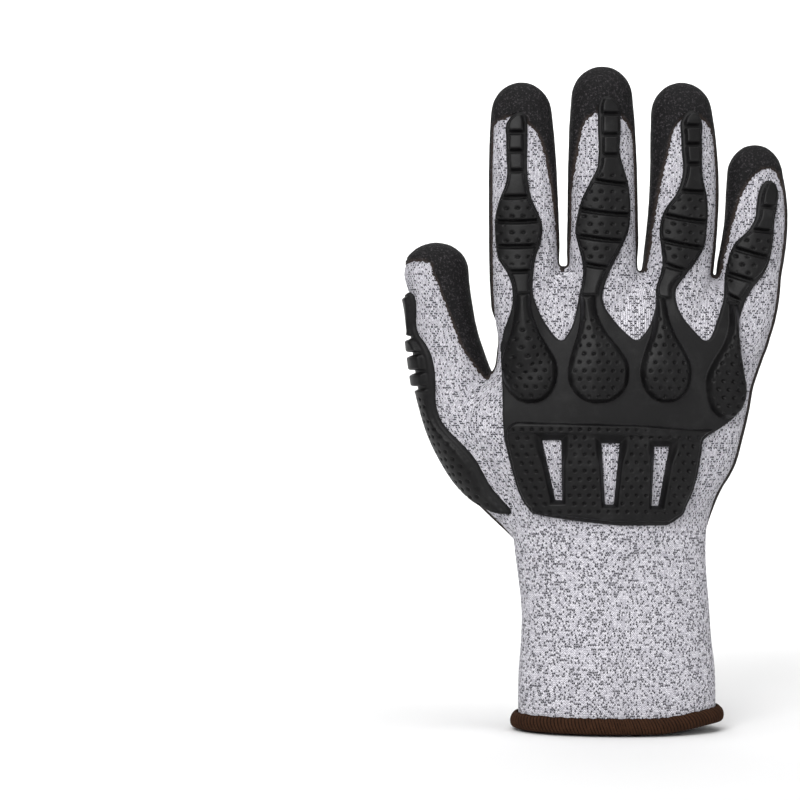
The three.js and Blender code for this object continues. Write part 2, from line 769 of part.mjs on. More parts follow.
// The thumb's guard, drawn from the thumb's outer side: heights as before, its edges towards the
// back and towards the palm as shares of the palm's depth
const thumbStrip = [
  { height: 0.9566, back: 0.09, palm: 0.36 },
  { height: 0.94, back: 0.05, palm: 0.42 },
  { height: 0.872, back: 0.1, palm: 0.43 },
  { height: 0.85, back: 0.0, palm: 0.43 },
  { height: 0.82, back: -0.034, palm: 0.43 },
  { height: 0.767, back: -0.032, palm: 0.425 },
  { height: 0.703, back: 0.003, palm: 0.4 },
  { height: 0.666, back: -0.015, palm: 0.38 },
  { height: 0.622, back: -0.095, palm: 0.34 },
  { height: 0.57, back: -0.14, palm: 0.27 },
  { height: 0.515, back: -0.16, palm: 0.13 },
  { height: 0.47, back: -0.205, palm: -0.08 },
];
const thumbGrooves = [0.859, 0.8225, 0.783, 0.748];

// A slab seen from the thumb's outer side, from the thumb's axis outwards.
function thumbSlab(inset) {
  const axis = thumbSections.map((row) => ({
    x: row.across * palmWidth,
    z: row.height * forkHeight,
  }));
  const rows = thumbStrip.map((row) => ({
    z: row.height * forkHeight,
    back: row.back * palmDepth + inset,
    palm: row.palm * palmDepth - inset,
  })).sort((one, other) => one.z - other.z);
  rows[0].z += inset;
  rows[rows.length - 1].z -= inset;
  return skin(rows.map((row) => {
    const inner = valueAt(axis, "x", row.z);
    return [
      new THREE.Vector3(farLeft, row.back, row.z),
      new THREE.Vector3(inner, row.back, row.z),
      new THREE.Vector3(inner, row.palm, row.z),
      new THREE.Vector3(farLeft, row.palm, row.z),
    ];
  }));
}
const thumbCuts = thumbGrooves.map((height) => {
  const z = height * forkHeight;
  return block(farLeft, 0, farBack, -farBack, z - grooveWidth / 2, z + grooveWidth / 2);
});
const thumbBlocks = thumbSlab(raisedInset)
  .intersect(onHand(thumbBlockHeight))
  .subtract(wasm.Manifold.union(thumbCuts));
const thumbGuard = thumbSlab(0).intersect(onHand(flangeHeight)).add(thumbBlocks);

// The coating keeps clear of both guards.
const footprints = [plate, ...Object.values(strips)].map((table) => {
  return slab(outline(table, -clearance, guardField), farBack, guardDepth + clearance);
});
const gripCoating = coated
  .subtract(wasm.Manifold.union([...bare, ...footprints, thumbSlab(-clearance)]));

const group = new THREE.Group();
group.name = "impact_glove";

function addPart(name, part, color, roughness) {
  const mesh = part.getMesh();
  const geometry = new THREE.BufferGeometry();
  geometry.setAttribute("position", new THREE.BufferAttribute(new Float32Array(mesh.vertProperties), 3));
  geometry.setIndex(new THREE.BufferAttribute(new Uint32Array(mesh.triVerts), 1));
  const material = new THREE.MeshStandardMaterial({ color, roughness, metalness: 0 });
  const piece = new THREE.Mesh(geometry, material);
  piece.name = name;
  group.add(piece);
}
const knitColor = 0xc9c9d1;
addPart("knit_cuff", knitCuff, knitColor, 0.9);
addPart("knit_heel", knitHeel, knitColor, 0.9);
addPart("knit_palm", knitPalm, knitColor, 0.9);
addPart("knit_thumb", knitThumb, knitColor, 0.9);
Object.keys(fingers).forEach((name, place) => {
  addPart(`knit_${name}_finger`, knitFingers[place], knitColor, 0.9);
});
addPart("grip_coating", gripCoating, 0x1c1c1e, 0.75);
addPart("cuff_hem", cuffHem, 0x3a261c, 0.9);
addPart("back_guard", backGuard, 0x2a2a2b, 0.5);
addPart("thumb_guard", thumbGuard, 0x2a2a2b, 0.5);
export default group;
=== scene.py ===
import math

import bpy
import numpy as np
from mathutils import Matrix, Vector
from mathutils.bvhtree import BVHTree


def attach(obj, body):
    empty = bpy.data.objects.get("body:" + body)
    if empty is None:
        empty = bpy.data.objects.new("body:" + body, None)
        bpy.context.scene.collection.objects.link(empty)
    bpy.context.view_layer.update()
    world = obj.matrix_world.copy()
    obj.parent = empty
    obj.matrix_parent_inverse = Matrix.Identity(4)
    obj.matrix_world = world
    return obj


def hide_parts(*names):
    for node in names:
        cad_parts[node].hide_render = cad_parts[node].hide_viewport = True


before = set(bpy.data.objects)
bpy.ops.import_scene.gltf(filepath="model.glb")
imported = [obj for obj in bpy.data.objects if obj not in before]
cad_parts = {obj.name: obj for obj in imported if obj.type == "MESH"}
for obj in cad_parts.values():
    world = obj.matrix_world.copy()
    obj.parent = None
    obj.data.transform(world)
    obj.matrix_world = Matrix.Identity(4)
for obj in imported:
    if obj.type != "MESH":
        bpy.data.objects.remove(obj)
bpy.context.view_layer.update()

# Sizes in millimetres. +Z runs to the fingertips, the back of the hand faces -Y.
MM = 0.001
FORK = 175.0
KNUCKLE_REACH = 50.0
PALM_WIDTH = 104.0
PALM_DEPTH = 40.0
CUFF_WIDTH = 75.5
CUFF_DEPTH = 48.0
KNIT_WALL = 1.5
HEM_FLOOR = 2.4
FINGER_DOME = 11.4
FINGER_POWER = 2.15
THUMB_WIDTH = 24.0
THUMB_DEPTH = 22.0
THUMB_DOME = 10.5
FORK_LEAN = 0.06
LEAN_FROM = 0.8
GUARD_TALL = 0.994
GUARD_WIDE = 0.98
GUARD_SHIFT = -0.0158
FINGERS_FROM = 0.95
FINGERS_OVER = 0.2
FINGER_EASE = 0.6
GUARD_STRETCH = 0.024

# Rows along a limb and points round it
BODY_ROWS, FINGER_ROWS, THUMB_ROWS = 110, 50, 60
BODY_COLUMNS, FINGER_COLUMNS = 120, 56

# How fine the fused form, its hollow and the guards are, and how often a form is smoothed
VOXEL = 1.08
HOLLOW_VOXEL = 2.2
GRID = 0.345
SMOOTHINGS = 8
HOLLOW_SMOOTHINGS = 2
# How far the knit's face lies outside the sections
KNIT_PROUD = 0.1
# A value that lies outside every outline
OUTSIDE = -99.0


def table(names, *rows):
    """Rows of numbers under named columns."""
    columns = np.array(rows, float).T
    return {name: column.copy() for name, column in zip(names.split(), columns)}


# Each finger: its length above the fork, width and depth; where its axis lies across the palm at
# the knuckle, the fork and the tip, and its bow (shares of the palm's width); and how far the
# axis lies towards the palm side at the knuckle, the fork and the tip
FINGER_KEYS = "length width depth knuckle fork tip bow knuckle_y fork_y tip_y".split()
FINGERS = {name: dict(zip(FINGER_KEYS, values)) for name, *values in (
    ("index", 72.4, 24.8, 20, -0.31, -0.343, -0.354, 0, -2.6, -0.4, 3.4),
    ("middle", 78.6, 25, 20.5, -0.06, -0.055, -0.055, 0, -4.4, -0.8, 3.8),
    ("ring", 72.4, 24.9, 20, 0.19, 0.221, 0.241, 0.016, -3.4, -0.4, 4),
    ("little", 48.4, 22.6, 18, 0.35, 0.486, 0.514, 0.014, -1.2, 0.6, 4.4))}
FINGER_SECTIONS = table(
    "along width depth",
    (-1, 0.66, 0.9), (-0.72, 0.74, 1.2), (-0.4, 0.93, 1.24), (0, 1.01, 1.09),
    (0.3, 1.0, 1.0), (0.62, 0.97, 0.97), (0.85, 0.92, 0.93), (1, 0.86, 0.87),
)
THUMB_SECTIONS = table(
    "across forward height width depth",
    (-0.19, 0.1, 0.35, 1.05, 1.2), (-0.292, 0.15, 0.462, 1.06, 1.38),
    (-0.422, 0.2, 0.562, 1.24, 1.4), (-0.528, 0.23, 0.657, 1.2, 1.28),
    (-0.585, 0.23, 0.742, 1.12, 1.16), (-0.615, 0.22, 0.806, 1.03, 1.08),
    (-0.637, 0.21, 0.868, 0.95, 1.0), (-0.656, 0.2, 0.944, 0.92, 0.97),
    (-0.674, 0.19, 1.0, 1.0, 0.98),
)
CUFF_SECTIONS = table(
    "height left right back palm power",
    (-0.05, -0.495, 0.49, 0.49, 0.49, 2.1), (0.04, -0.505, 0.497, 0.5, 0.5, 2.1),
    (0.12, -0.503, 0.493, 0.495, 0.495, 2.1), (0.19, -0.491, 0.475, 0.47, 0.47, 2.15),
    (0.26, -0.488, 0.465, 0.445, 0.445, 2.2), (0.335, -0.507, 0.452, 0.41, 0.43, 2.25),
    (0.385, -0.522, 0.447, 0.385, 0.43, 2.3),
)
HAND_SECTIONS = table(
    "height left right back palm power",
    (0.445, -0.392, 0.33, 0.45, 0.53, 2.35), (0.51, -0.43, 0.362, 0.445, 0.55, 2.4),
    (0.575, -0.5, 0.423, 0.445, 0.56, 2.35), (0.64, -0.56, 0.454, 0.445, 0.56, 2.3),
    (0.7, -0.56, 0.478, 0.44, 0.54, 2.3), (0.745, -0.505, 0.49, 0.435, 0.52, 2.4),
    (0.785, -0.452, 0.512, 0.425, 0.495, 2.5), (0.82, -0.441, 0.532, 0.41, 0.465, 2.5),
    (0.845, -0.438, 0.547, 0.395, 0.42, 2.5), (0.875, -0.437, 0.555, 0.37, 0.43, 2.5),
    (0.92, -0.446, 0.562, 0.31, 0.36, 2.5), (0.96, -0.45, 0.57, 0.24, 0.27, 2.4),
    (0.985, -0.43, 0.54, 0.15, 0.18, 2.2), (1.0, -0.4, 0.49, 0.07, 0.09, 2),
)


def cubic(t, p0, p1, m0, m1):
    """A cubic between two values with a slope at each, and its own slope."""
    a = 2 * (p0 - p1) + m0 + m1
    b = 3 * (p1 - p0) - 2 * m0 - m1
    return ((a * t + b) * t + m0) * t + p0, (3 * a * t + 2 * b) * t + m0


def reading(column, at):
    """A column of a table, read smoothly at places from 0 to 1."""
    last = len(column) - 1
    place = np.clip(at, 0, 1) * last
    start = np.minimum(np.floor(place).astype(int), last - 1)
    t = place - start
    take = lambda i: column[np.clip(i, 0, last)]
    p0, p1, p2, p3 = take(start - 1), take(start), take(start + 1), take(start + 2)
    return cubic(t, p1, p2, (p2 - p0) / 2, (p3 - p1) / 2)[0]


def sampled(columns, count):
    at = np.linspace(0, 1, count + 1)
    return {key: reading(column, at) for key, column in columns.items()}


def body_sections(count=BODY_ROWS):
    both = {}
    for key in CUFF_SECTIONS:
        cuff, hand = CUFF_SECTIONS[key].copy(), HAND_SECTIONS[key].copy()
        if key in ("left", "right"):
            sign = -1 if key == "left" else 1
            cuff, hand = cuff * CUFF_WIDTH * sign, hand * PALM_WIDTH * sign
        if key in ("back", "palm"):
            cuff, hand = cuff * CUFF_DEPTH, hand * PALM_DEPTH
        both[key] = np.concatenate([cuff, hand])
    rows = sampled(both, count)
    share = rows["height"]
    rows["z"] = share * FORK
    rows["x"] = rows["z"] * 0
    rows["y"] = rows["z"] * 0
    rows["level"] = FORK_LEAN * np.maximum(0, (share - LEAN_FROM) / (1 - LEAN_FROM))
    return rows


def finger_sections(finger, count=FINGER_ROWS):
    rows = sampled(FINGER_SECTIONS, count)
    along = rows["along"]
    down, up = np.maximum(-along, 0), np.maximum(along, 0)
    bend = np.sin(np.pi * np.minimum(up, 1))
    across = finger["fork"] + (finger["knuckle"] - finger["fork"]) * down * down
    leaning = (finger["tip"] - finger["fork"]) * up
    rows["x"] = PALM_WIDTH * (across + leaning + finger["bow"] * bend)
    rows["y"] = (finger["fork_y"] + (finger["knuckle_y"] - finger["fork_y"]) * down
                 + (finger["tip_y"] - finger["fork_y"]) * up * up)
    rows["z"] = FORK + (finger["length"] - FINGER_DOME) * up - KNUCKLE_REACH * down
    rows["left"] = rows["right"] = finger["width"] * rows["width"] / 2
    rows["back"] = rows["palm"] = finger["depth"] * rows["depth"] / 2
    rows["power"] = along * 0 + FINGER_POWER
    return rows


def thumb_sections(count=THUMB_ROWS):
    rows = sampled(THUMB_SECTIONS, count)
    rows["x"] = rows["across"] * PALM_WIDTH
    rows["y"] = rows["forward"] * PALM_DEPTH
    rows["z"] = rows["height"] * FORK
    rows["left"] = rows["right"] = rows["width"] * THUMB_WIDTH / 2
    rows["back"] = rows["palm"] = rows["depth"] * THUMB_DEPTH / 2
    rows["power"] = rows["x"] * 0 + FINGER_POWER
    return rows


def bent(value, power):
    """A sine or cosine bent for a section between an ellipse and a box."""
    return np.sign(value) * np.abs(value) ** power


SIDES = ("left", "right", "back", "palm")


def tube(rows, columns, grow, dome=0.0, steps=12):
    """Rings of points round the sections, grown outwards, with a round end if dome is given."""
    keys = ("x", "y", "z", *SIDES, "power")
    data = {key: rows[key] + (grow if key in SIDES else 0) for key in keys}
    tangent_x = np.gradient(data["x"])
    tangent_z = np.gradient(data["z"])
    if dome:
        slope = (data["x"][-1] - data["x"][-2]) / (data["z"][-1] - data["z"][-2])
        angle = np.linspace(0, math.pi / 2, steps + 1)[1:]
        rise = (dome + grow) * np.sin(angle)
        shrink = np.maximum(np.cos(angle), 0.02)
        more = {key: np.full(steps, data[key][-1]) for key in keys}
        more["x"] += slope * rise
        more["z"] += rise
        for key in SIDES:
            more[key] *= shrink
        data = {key: np.concatenate([data[key], more[key]]) for key in keys}
        tangent_x = np.concatenate([tangent_x, np.full(steps, tangent_x[-1])])
        tangent_z = np.concatenate([tangent_z, np.full(steps, tangent_z[-1])])
    if "level" in rows:
        across_x, across_z = np.ones(len(data["x"])), -rows["level"]
    else:
        across_x, across_z = tangent_z, -tangent_x
    norm = np.hypot(across_x, across_z)
    across_x, across_z = across_x / norm, across_z / norm
    angle = np.linspace(0, 2 * math.pi, columns, endpoint=False)
    c, s = np.cos(angle)[None], np.sin(angle)[None]
    power = 2 / data["power"][:, None]
    wide = np.where(c < 0, data["left"][:, None], data["right"][:, None])
    deep = np.where(s < 0, data["back"][:, None], data["palm"][:, None])
    side = wide * bent(c, power)
    x = data["x"][:, None] + side * across_x[:, None]
    z = data["z"][:, None] + side * across_z[:, None]
    y = data["y"][:, None] + deep * bent(s, power)
    return np.stack([x, y, z], 2)


def ring_faces(rings, columns):
    i = np.arange(rings - 1)[:, None] * columns
    j = np.arange(columns)[None]
    k = (j + 1) % columns
    quads = np.stack([i + j, i + k, i + columns + k, i + columns + j], 2)
    return quads.reshape(-1, 4).tolist()


def placed(name, data):
    obj = bpy.data.objects.new(name, data)
    bpy.context.scene.collection.objects.link(obj)
    return obj


def new_mesh(name, points, faces, scale=MM):
    mesh = bpy.data.meshes.new(name)
    mesh.from_pydata((np.asarray(points, float) * scale).tolist(), [], faces)
    mesh.update()
    return placed(name, mesh)


def hand_form(name, grow, voxel, times):
    """The whole hand's form: its limbs fused and their creases eased."""
    tubes = [tube(body_sections(), BODY_COLUMNS, grow),
             tube(thumb_sections(), FINGER_COLUMNS, grow, THUMB_DOME)]
    tubes += [tube(finger_sections(finger), FINGER_COLUMNS, grow, FINGER_DOME)
              for finger in FINGERS.values()]
    points, faces, base = [], [], 0
    for rings in tubes:
        count, columns = rings.shape[:2]
        points.append(rings.reshape(-1, 3))
        faces += [[base + i for i in face] for face in ring_faces(count, columns)]
        faces.append(list(range(base + columns - 1, base - 1, -1)))
        faces.append(list(range(base + (count - 1) * columns, base + count * columns)))
        base += count * columns
    obj = new_mesh(name, np.concatenate(points), faces)
    fuse = obj.modifiers.new("fuse", "REMESH")
    fuse.mode = "VOXEL"
    fuse.voxel_size = voxel * MM
    easing = obj.modifiers.new("ease", "SMOOTH")
    easing.factor = 0.5
    easing.iterations = times
    graph = bpy.context.evaluated_depsgraph_get()
    mesh = bpy.data.meshes.new_from_object(obj.evaluated_get(graph))
    bpy.data.objects.remove(obj)
    points = np.empty(len(mesh.vertices) * 3)
    mesh.vertices.foreach_get("co", points)
    mesh.calc_loop_triangles()
    triangles = np.empty(len(mesh.loop_triangles) * 3, int)
    mesh.loop_triangles.foreach_get("vertices", triangles)
    bpy.data.meshes.remove(mesh)
    return points.reshape(-1, 3) / MM, triangles.reshape(-1, 3)


def edges_of(triangles):
    return np.concatenate([triangles[:, [0, 1]], triangles[:, [1, 2]], triangles[:, [2, 0]]])


def unit(vectors):
    return vectors / np.linalg.norm(vectors, axis=-1, keepdims=True)


def vertex_normals(points, triangles):
    a, b, c = (points[triangles[:, i]] for i in range(3))
    face = np.cross(b - a, c - a)
    normals = np.zeros_like(points)
    for i in range(3):
        np.add.at(normals, triangles[:, i], face)
    return normals / np.maximum(np.linalg.norm(normals, axis=1, keepdims=True), 1e-9)


def clip(points, triangles, values, extra=()):
    """The part of a mesh where the values are above 0, cut clean through its triangles."""
    extra = [np.asarray(e, float) for e in extra]
    inside = values > 0
    count = inside[triangles].sum(1)
    kept = [triangles[count == 3]]
    new_points, new_extra, seen = [], [[] for _ in extra], {}

    def crossing(i, j):
        key = (i, j) if i < j else (j, i)
        if key not in seen:
            i, j = key
            t = values[i] / (values[i] - values[j])
            seen[key] = len(points) + len(new_points)
            new_points.append(points[i] + (points[j] - points[i]) * t)
            for store, column in zip(new_extra, extra):
                store.append(column[i] + (column[j] - column[i]) * t)
        return seen[key]

    more = []
    for triangle in triangles[(count > 0) & (count < 3)].tolist():
        flags = [bool(inside[i]) for i in triangle]
        lone = flags.index(True) if sum(flags) == 1 else flags.index(False)
        a, b, c = triangle[lone], triangle[(lone + 1) % 3], triangle[(lone + 2) % 3]
        ab, ca = crossing(a, b), crossing(c, a)
        if sum(flags) == 1:
            more.append((a, ab, ca))
        else:
            more += [(ab, b, c), (ab, c, ca)]
    if more:
        kept.append(np.array(more))
    triangles = np.concatenate(kept)
    if new_points:
        points = np.concatenate([points, np.array(new_points)])
        extra = [np.concatenate([e, np.array(s)]) for e, s in zip(extra, new_extra)]
    used = np.zeros(len(points), bool)
    used[triangles.ravel()] = True
    index = np.cumsum(used) - 1
    return [points[used], index[triangles]] + [e[used] for e in extra]


def split(triangles, points, where, extra=()):
    """Each triangle that is wanted split into four, the rest left as they are."""
    chosen = triangles[where]
    edges = np.sort(edges_of(chosen), 1)
    unique, place = np.unique(edges, axis=0, return_inverse=True)
    place = place.reshape(-1)
    middle = (points[unique[:, 0]] + points[unique[:, 1]]) / 2
    extra = [np.concatenate([e, (e[unique[:, 0]] + e[unique[:, 1]]) / 2]) for e in extra]
    n = len(chosen)
    ab, bc, ca = (len(points) + place[i * n:(i + 1) * n] for i in range(3))
    a, b, c = chosen.T
    parts = [np.stack(t, 1) for t in ((a, ab, ca), (ab, b, bc), (ca, bc, c), (ab, bc, ca))]
    points = np.concatenate([points, middle])
    fine = np.concatenate(parts)
    return [np.concatenate([triangles[~where], fine]), points] + extra


# Folds of the palm: their points across and up, width and depth. Only what lies further than
# CREASED_PAST towards the palm side is folded, and the coating is thinner by CREASE_THINNED.
CREASES = [
    ([(-8, 150.5), (4, 149.4), (18, 151), (30, 153), (40, 156)], 1.5, 1.5),
    ([(-57, 121), (-52, 126), (-47.5, 132.5)], 1.5, 1.3),
    ([(-22, 66), (-30, 84), (-31, 100), (-24, 116)], 3.2, 1.0),
]
CREASED_PAST = 4
CREASE_THINNED = 0.35


def crease(points, line, wide):
    """How deep a fold runs through a place on the palm side, beside a line of points."""
    x, y, z = points.T
    line = np.array(line, float)
    best = np.full(len(x), -OUTSIDE)
    for (x0, z0), (x1, z1) in zip(line[:-1], line[1:]):
        run, rise = x1 - x0, z1 - z0
        along = np.clip(((x - x0) * run + (z - z0) * rise) / (run ** 2 + rise ** 2), 0, 1)
        best = np.minimum(best, np.hypot(x - x0 - along * run, z - z0 - along * rise))
    return np.exp(-(best / wide) ** 2) * (y > CREASED_PAST)


outer_points, outer_triangles = hand_form("form", KNIT_PROUD, VOXEL, SMOOTHINGS)
inner_points, inner_triangles = hand_form("hollow", -KNIT_WALL, HOLLOW_VOXEL, HOLLOW_SMOOTHINGS)
for line, wide, deep in CREASES:
    outer_points[:, 1] -= deep * crease(outer_points, line, wide)


def hermite(at, places, values):
    """A smooth curve through values at rising places, and its slope."""
    slopes = np.gradient(values, places)
    i = np.clip(np.searchsorted(places, at) - 1, 0, len(places) - 2)
    h = places[i + 1] - places[i]
    t = np.clip((at - places[i]) / h, 0, 1)
    value, slope = cubic(t, values[i], values[i + 1], slopes[i] * h, slopes[i + 1] * h)
    return value, slope / h


def ease(t):
    t = np.clip(t, 0, 1)
    return t * t * (3 - 2 * t)


def rounded(t):
    """From 0 to 1 as a quarter of a circle does."""
    return np.sqrt(np.maximum(1 - (1 - np.clip(t, 0, 1)) ** 2, 0))


def guard_up(height):
    height = np.asarray(height, float)
    return (height * GUARD_TALL + np.maximum(0, height - 1) * GUARD_STRETCH) * FORK


def guard_across(share, height):
    share, height = np.asarray(share, float), np.asarray(height, float)
    on_finger = np.clip((height - FINGERS_FROM) / FINGERS_OVER, 0, 1) * FINGER_EASE
    wide = GUARD_WIDE + (1 - GUARD_WIDE) * on_finger
    return (share * wide + GUARD_SHIFT * (1 - on_finger)) * PALM_WIDTH


def hand_up(height):
    return np.asarray(height, float) * FORK


def hand_across(share, height):
    return np.asarray(share, float) * PALM_WIDTH


def inside(rows, x, z, up=guard_up, across=guard_across, low=True):
    """How far a place lies inside an outline, in millimetres. Without low it is open below."""
    order = np.argsort(rows["height"])
    height = rows["height"][order]
    places = up(height)
    left, left_slope = hermite(z, places, across(rows["left"][order], height))
    right, right_slope = hermite(z, places, across(rows["right"][order], height))
    value = np.minimum((x - left) / np.hypot(1, left_slope),
                       (right - x) / np.hypot(1, right_slope))
    value = np.minimum(value, places[-1] - z)
    if low:
        value = np.minimum(value, z - places[0])
    return value


EDGES = "height left right"
STRIPS = {
    "index": table(
        EDGES, (1.347, -0.37, -0.348), (1.341, -0.386, -0.339), (1.332, -0.4, -0.335),
        (1.283, -0.41, -0.334), (1.19, -0.4144, -0.329), (1.157, -0.4348, -0.3164),
        (1.125, -0.4477, -0.2905), (1.103, -0.4496, -0.279), (1.0685, -0.446, -0.283),
        (1.032, -0.4348, -0.3016), (0.997, -0.4015, -0.309), (0.9625, -0.385, -0.311),
        (0.926, -0.388, -0.294), (0.904, -0.397, -0.277), (0.8815, -0.41, -0.253),
        (0.8635, -0.417, -0.23), (0.845, -0.42, -0.2)),
    "middle": table(
        EDGES, (1.382, -0.05, -0.03), (1.376, -0.062, -0.012), (1.367, -0.0685, 0.002),
        (1.326, -0.072, 0.0107), (1.248, -0.072, 0.0107), (1.2286, -0.0759, 0.02),
        (1.196, -0.102, 0.035), (1.159, -0.131, 0.0426), (1.129, -0.1425, 0.0444),
        (1.09, -0.15, 0.039), (1.06, -0.139, 0.02), (1.032, -0.1277, -0.002),
        (1.006, -0.122, -0.024), (0.978, -0.1258, -0.041), (0.95, -0.137, -0.05),
        (0.926, -0.146, -0.042), (0.904, -0.154, -0.018), (0.8815, -0.167, 0.013),
        (0.86, -0.188, 0.052), (0.845, -0.205, 0.085)),
    "ring": table(
        EDGES, (1.351, 0.267, 0.288), (1.344, 0.253, 0.3), (1.3346, 0.242, 0.309),
        (1.287, 0.237, 0.3127), (1.2005, 0.235, 0.316), (1.168, 0.213, 0.3275),
        (1.144, 0.183, 0.331), (1.0988, 0.161, 0.331), (1.049, 0.168, 0.318),
        (1.0188, 0.172, 0.287), (0.995, 0.1647, 0.257), (0.9647, 0.15, 0.224),
        (0.936, 0.149, 0.226), (0.904, 0.136, 0.248), (0.8815, 0.12, 0.278),
        (0.86, 0.092, 0.311), (0.845, 0.068, 0.335)),
    "little": table(
        EDGES, (1.201, 0.553, 0.573), (1.192, 0.538, 0.587), (1.179, 0.527, 0.5957),
        (1.146, 0.516, 0.592), (1.118, 0.5106, 0.5846), (1.092, 0.4866, 0.583),
        (1.0707, 0.451, 0.581), (1.049, 0.431, 0.577), (1.023, 0.42, 0.568),
        (0.997, 0.4126, 0.549), (0.971, 0.409, 0.516), (0.945, 0.405, 0.49),
        (0.917, 0.39, 0.472), (0.887, 0.372, 0.457), (0.8587, 0.35, 0.453),
        (0.838, 0.32, 0.453)),
}
PLATE = table(
    EDGES, (0.85, -0.418, 0.453), (0.832, -0.422, 0.455), (0.7895, -0.422, 0.472),
    (0.7527, -0.422, 0.4755), (0.7138, -0.422, 0.464), (0.6857, -0.422, 0.442),
    (0.664, -0.42, 0.394), (0.638, -0.416, 0.3275), (0.61, -0.405, 0.316),
    (0.5537, -0.379, 0.298), (0.517, -0.357, 0.279), (0.489, -0.3275, 0.257),
    (0.4737, -0.294, 0.246), (0.465, -0.213, 0.2276), (0.456, -0.094, 0.205),
    (0.45, 0.009, 0.183))
SLOTS = [
    table(EDGES, (0.6355, -0.2775, -0.207), (0.5055, -0.2275, -0.2028)),
    table(EDGES, (0.629, -0.0574, 0.0093), (0.4965, -0.0444, -0.013)),
    table(EDGES, (0.6215, 0.1376, 0.1943), (0.4935, 0.1277, 0.1536)),
]
GROOVE = "height tilt bow"
# Grooves across each strip: height, tilt down towards the little finger, and bow
GROOVES = {
    "index": table(GROOVE, (1.299, 0, 0), (1.259, 0, 0), (1.2165, 0, 0), (1.161, 0, 0.01),
                   (1.108, 0, 0.01), (1.055, 0, 0.01), (1.001, 0, 0.02)),
    "middle": table(GROOVE, (1.338, 0, 0), (1.294, 0, 0), (1.25, 0, 0), (1.191, 0.15, 0.01),
                    (1.126, 0.13, 0.01), (1.07, 0.15, 0.01), (1.012, 0.2, 0.02)),
    "ring": table(GROOVE, (1.312, 0, 0), (1.273, 0, 0), (1.231, 0, 0), (1.172, 0.05, 0.01),
                  (1.113, 0.17, 0.01), (1.058, 0.2, 0.01), (1.008, 0.3, 0.02)),
    "little": table(GROOVE, (1.139, 0.1, 0), (1.089, 0.1, 0.01), (1.04, 0.28, 0.01),
                    (0.987, 0.35, 0.01), (0.942, 0.3, 0.02)),
}
# Knuckle pods: the neck's and the pod's centre across, half its width, its top and its bottom
PODS = [(-0.346, -0.316, 0.0963, 0.955, 0.716), (-0.102, -0.0685, 0.111, 0.95, 0.716),
        (0.165, 0.179, 0.0925, 0.945, 0.718), (0.442, 0.401, 0.074, 0.93, 0.6835)]
POD_SHAPE = table("along width shift", (0, 0.24, 0), (0.2, 0.3, 0.08), (0.36, 0.48, 0.35),
                  (0.5, 0.76, 0.75), (0.62, 0.95, 1), (0.74, 1.0, 1), (0.86, 0.88, 1),
                  (0.94, 0.64, 1), (0.985, 0.34, 1), (1, 0.12, 1))
# What rises from the guards' flange, the rounding of its edges, and its distance from the outline
FLANGE = 1.7
FLANGE_ROUND = 0.9
BLOCK_RISE = 2.6
BLOCK_ROUND = 0.8
POD_RIM = 2.3
POD_ROUND = 1.6
POD_DOME = 2.2
FRAME_RISE = 2.2
FRAME_ROUND = 1.1
FRAME_CORNER = 4.5
INSET = 1.5
GROOVE_HALF = 0.55
# Strips end here, inside the plate, and the corners between them are rounded
STRIPS_FROM = 0.83
FILLET = 1.7
# The frame's ridge along its upper edge, and the slots' sides, flatter towards the top
RIDGE_RISE = 0.9
RIDGE_WIDE = 4.6
SLOT_BEVEL = 1.5
SLOT_FLARE = 1.4
SLOT_ROUND = 0.8
# Pits: their radius, depth and spacing
DIMPLE = 0.76
DIMPLE_DEPTH = 0.95
DIMPLE_ACROSS = 3.5
DIMPLE_UP = 3.1


def pod_inside(pod, x, z):
    neck, centre, half, top, bottom = pod
    high, low = guard_up(top), guard_up(bottom)
    along = POD_SHAPE["along"]
    t = np.clip((z - high) / (low - high), 0, 1)
    middle = guard_across(neck + (centre - neck) * hermite(t, along, POD_SHAPE["shift"])[0], 0.8)
    width, slope = hermite(t, along, POD_SHAPE["width"])
    wide = half * GUARD_WIDE * PALM_WIDTH
    value = (width * wide - np.abs(x - middle)) / np.hypot(1, slope * wide / (high - low))
    return np.minimum(value, np.minimum(high - z, z - low))


def dimples(x, z):
    """1 in the middle of each pit of a staggered field of pits, 0 outside them."""
    u, v = x / DIMPLE_ACROSS, z / DIMPLE_UP
    best = np.full(np.shape(x), 9.0)
    row = np.round(v)
    for step in (-1, 0, 1):
        r = row + step
        shift = 0.5 * np.mod(r, 2)
        column = np.round(u - shift) + shift
        best = np.minimum(best, np.hypot((u - column) * DIMPLE_ACROSS, (v - r) * DIMPLE_UP))
    return np.clip(1 - (best / DIMPLE) ** 2, 0, 1)


def joined(one, other, fillet):
    """The union of two outlines, with the corners between them rounded."""
    near = np.maximum(fillet - np.abs(one - other), 0) / fillet
    return np.maximum(one, other) + near * near * fillet / 4


def back_outline(x, z):
    """How far a place lies inside the guard's outline, and inside one of its slots."""
    value = inside(PLATE, x, z)
    for rows in STRIPS.values():
        strip = inside(rows, x, z, low=False) + OUTSIDE * (z < guard_up(STRIPS_FROM))
        value = joined(value, strip, FILLET)
    holes = np.full(np.shape(x), OUTSIDE)
    for rows in SLOTS:
        holes = np.maximum(holes, inside(rows, x, z))
    return value, holes


# The frame over the plate's lower half: its upper edge, as places across and their heights, the
# height at which those places are read, and its left side
FRAME_TOP = ([-0.405, 0.083, 0.2757], [0.6757, 0.668, 0.659])
FRAME_AT = 0.66
FRAME_LEFT = guard_across(-0.405, FRAME_AT) + 0.4


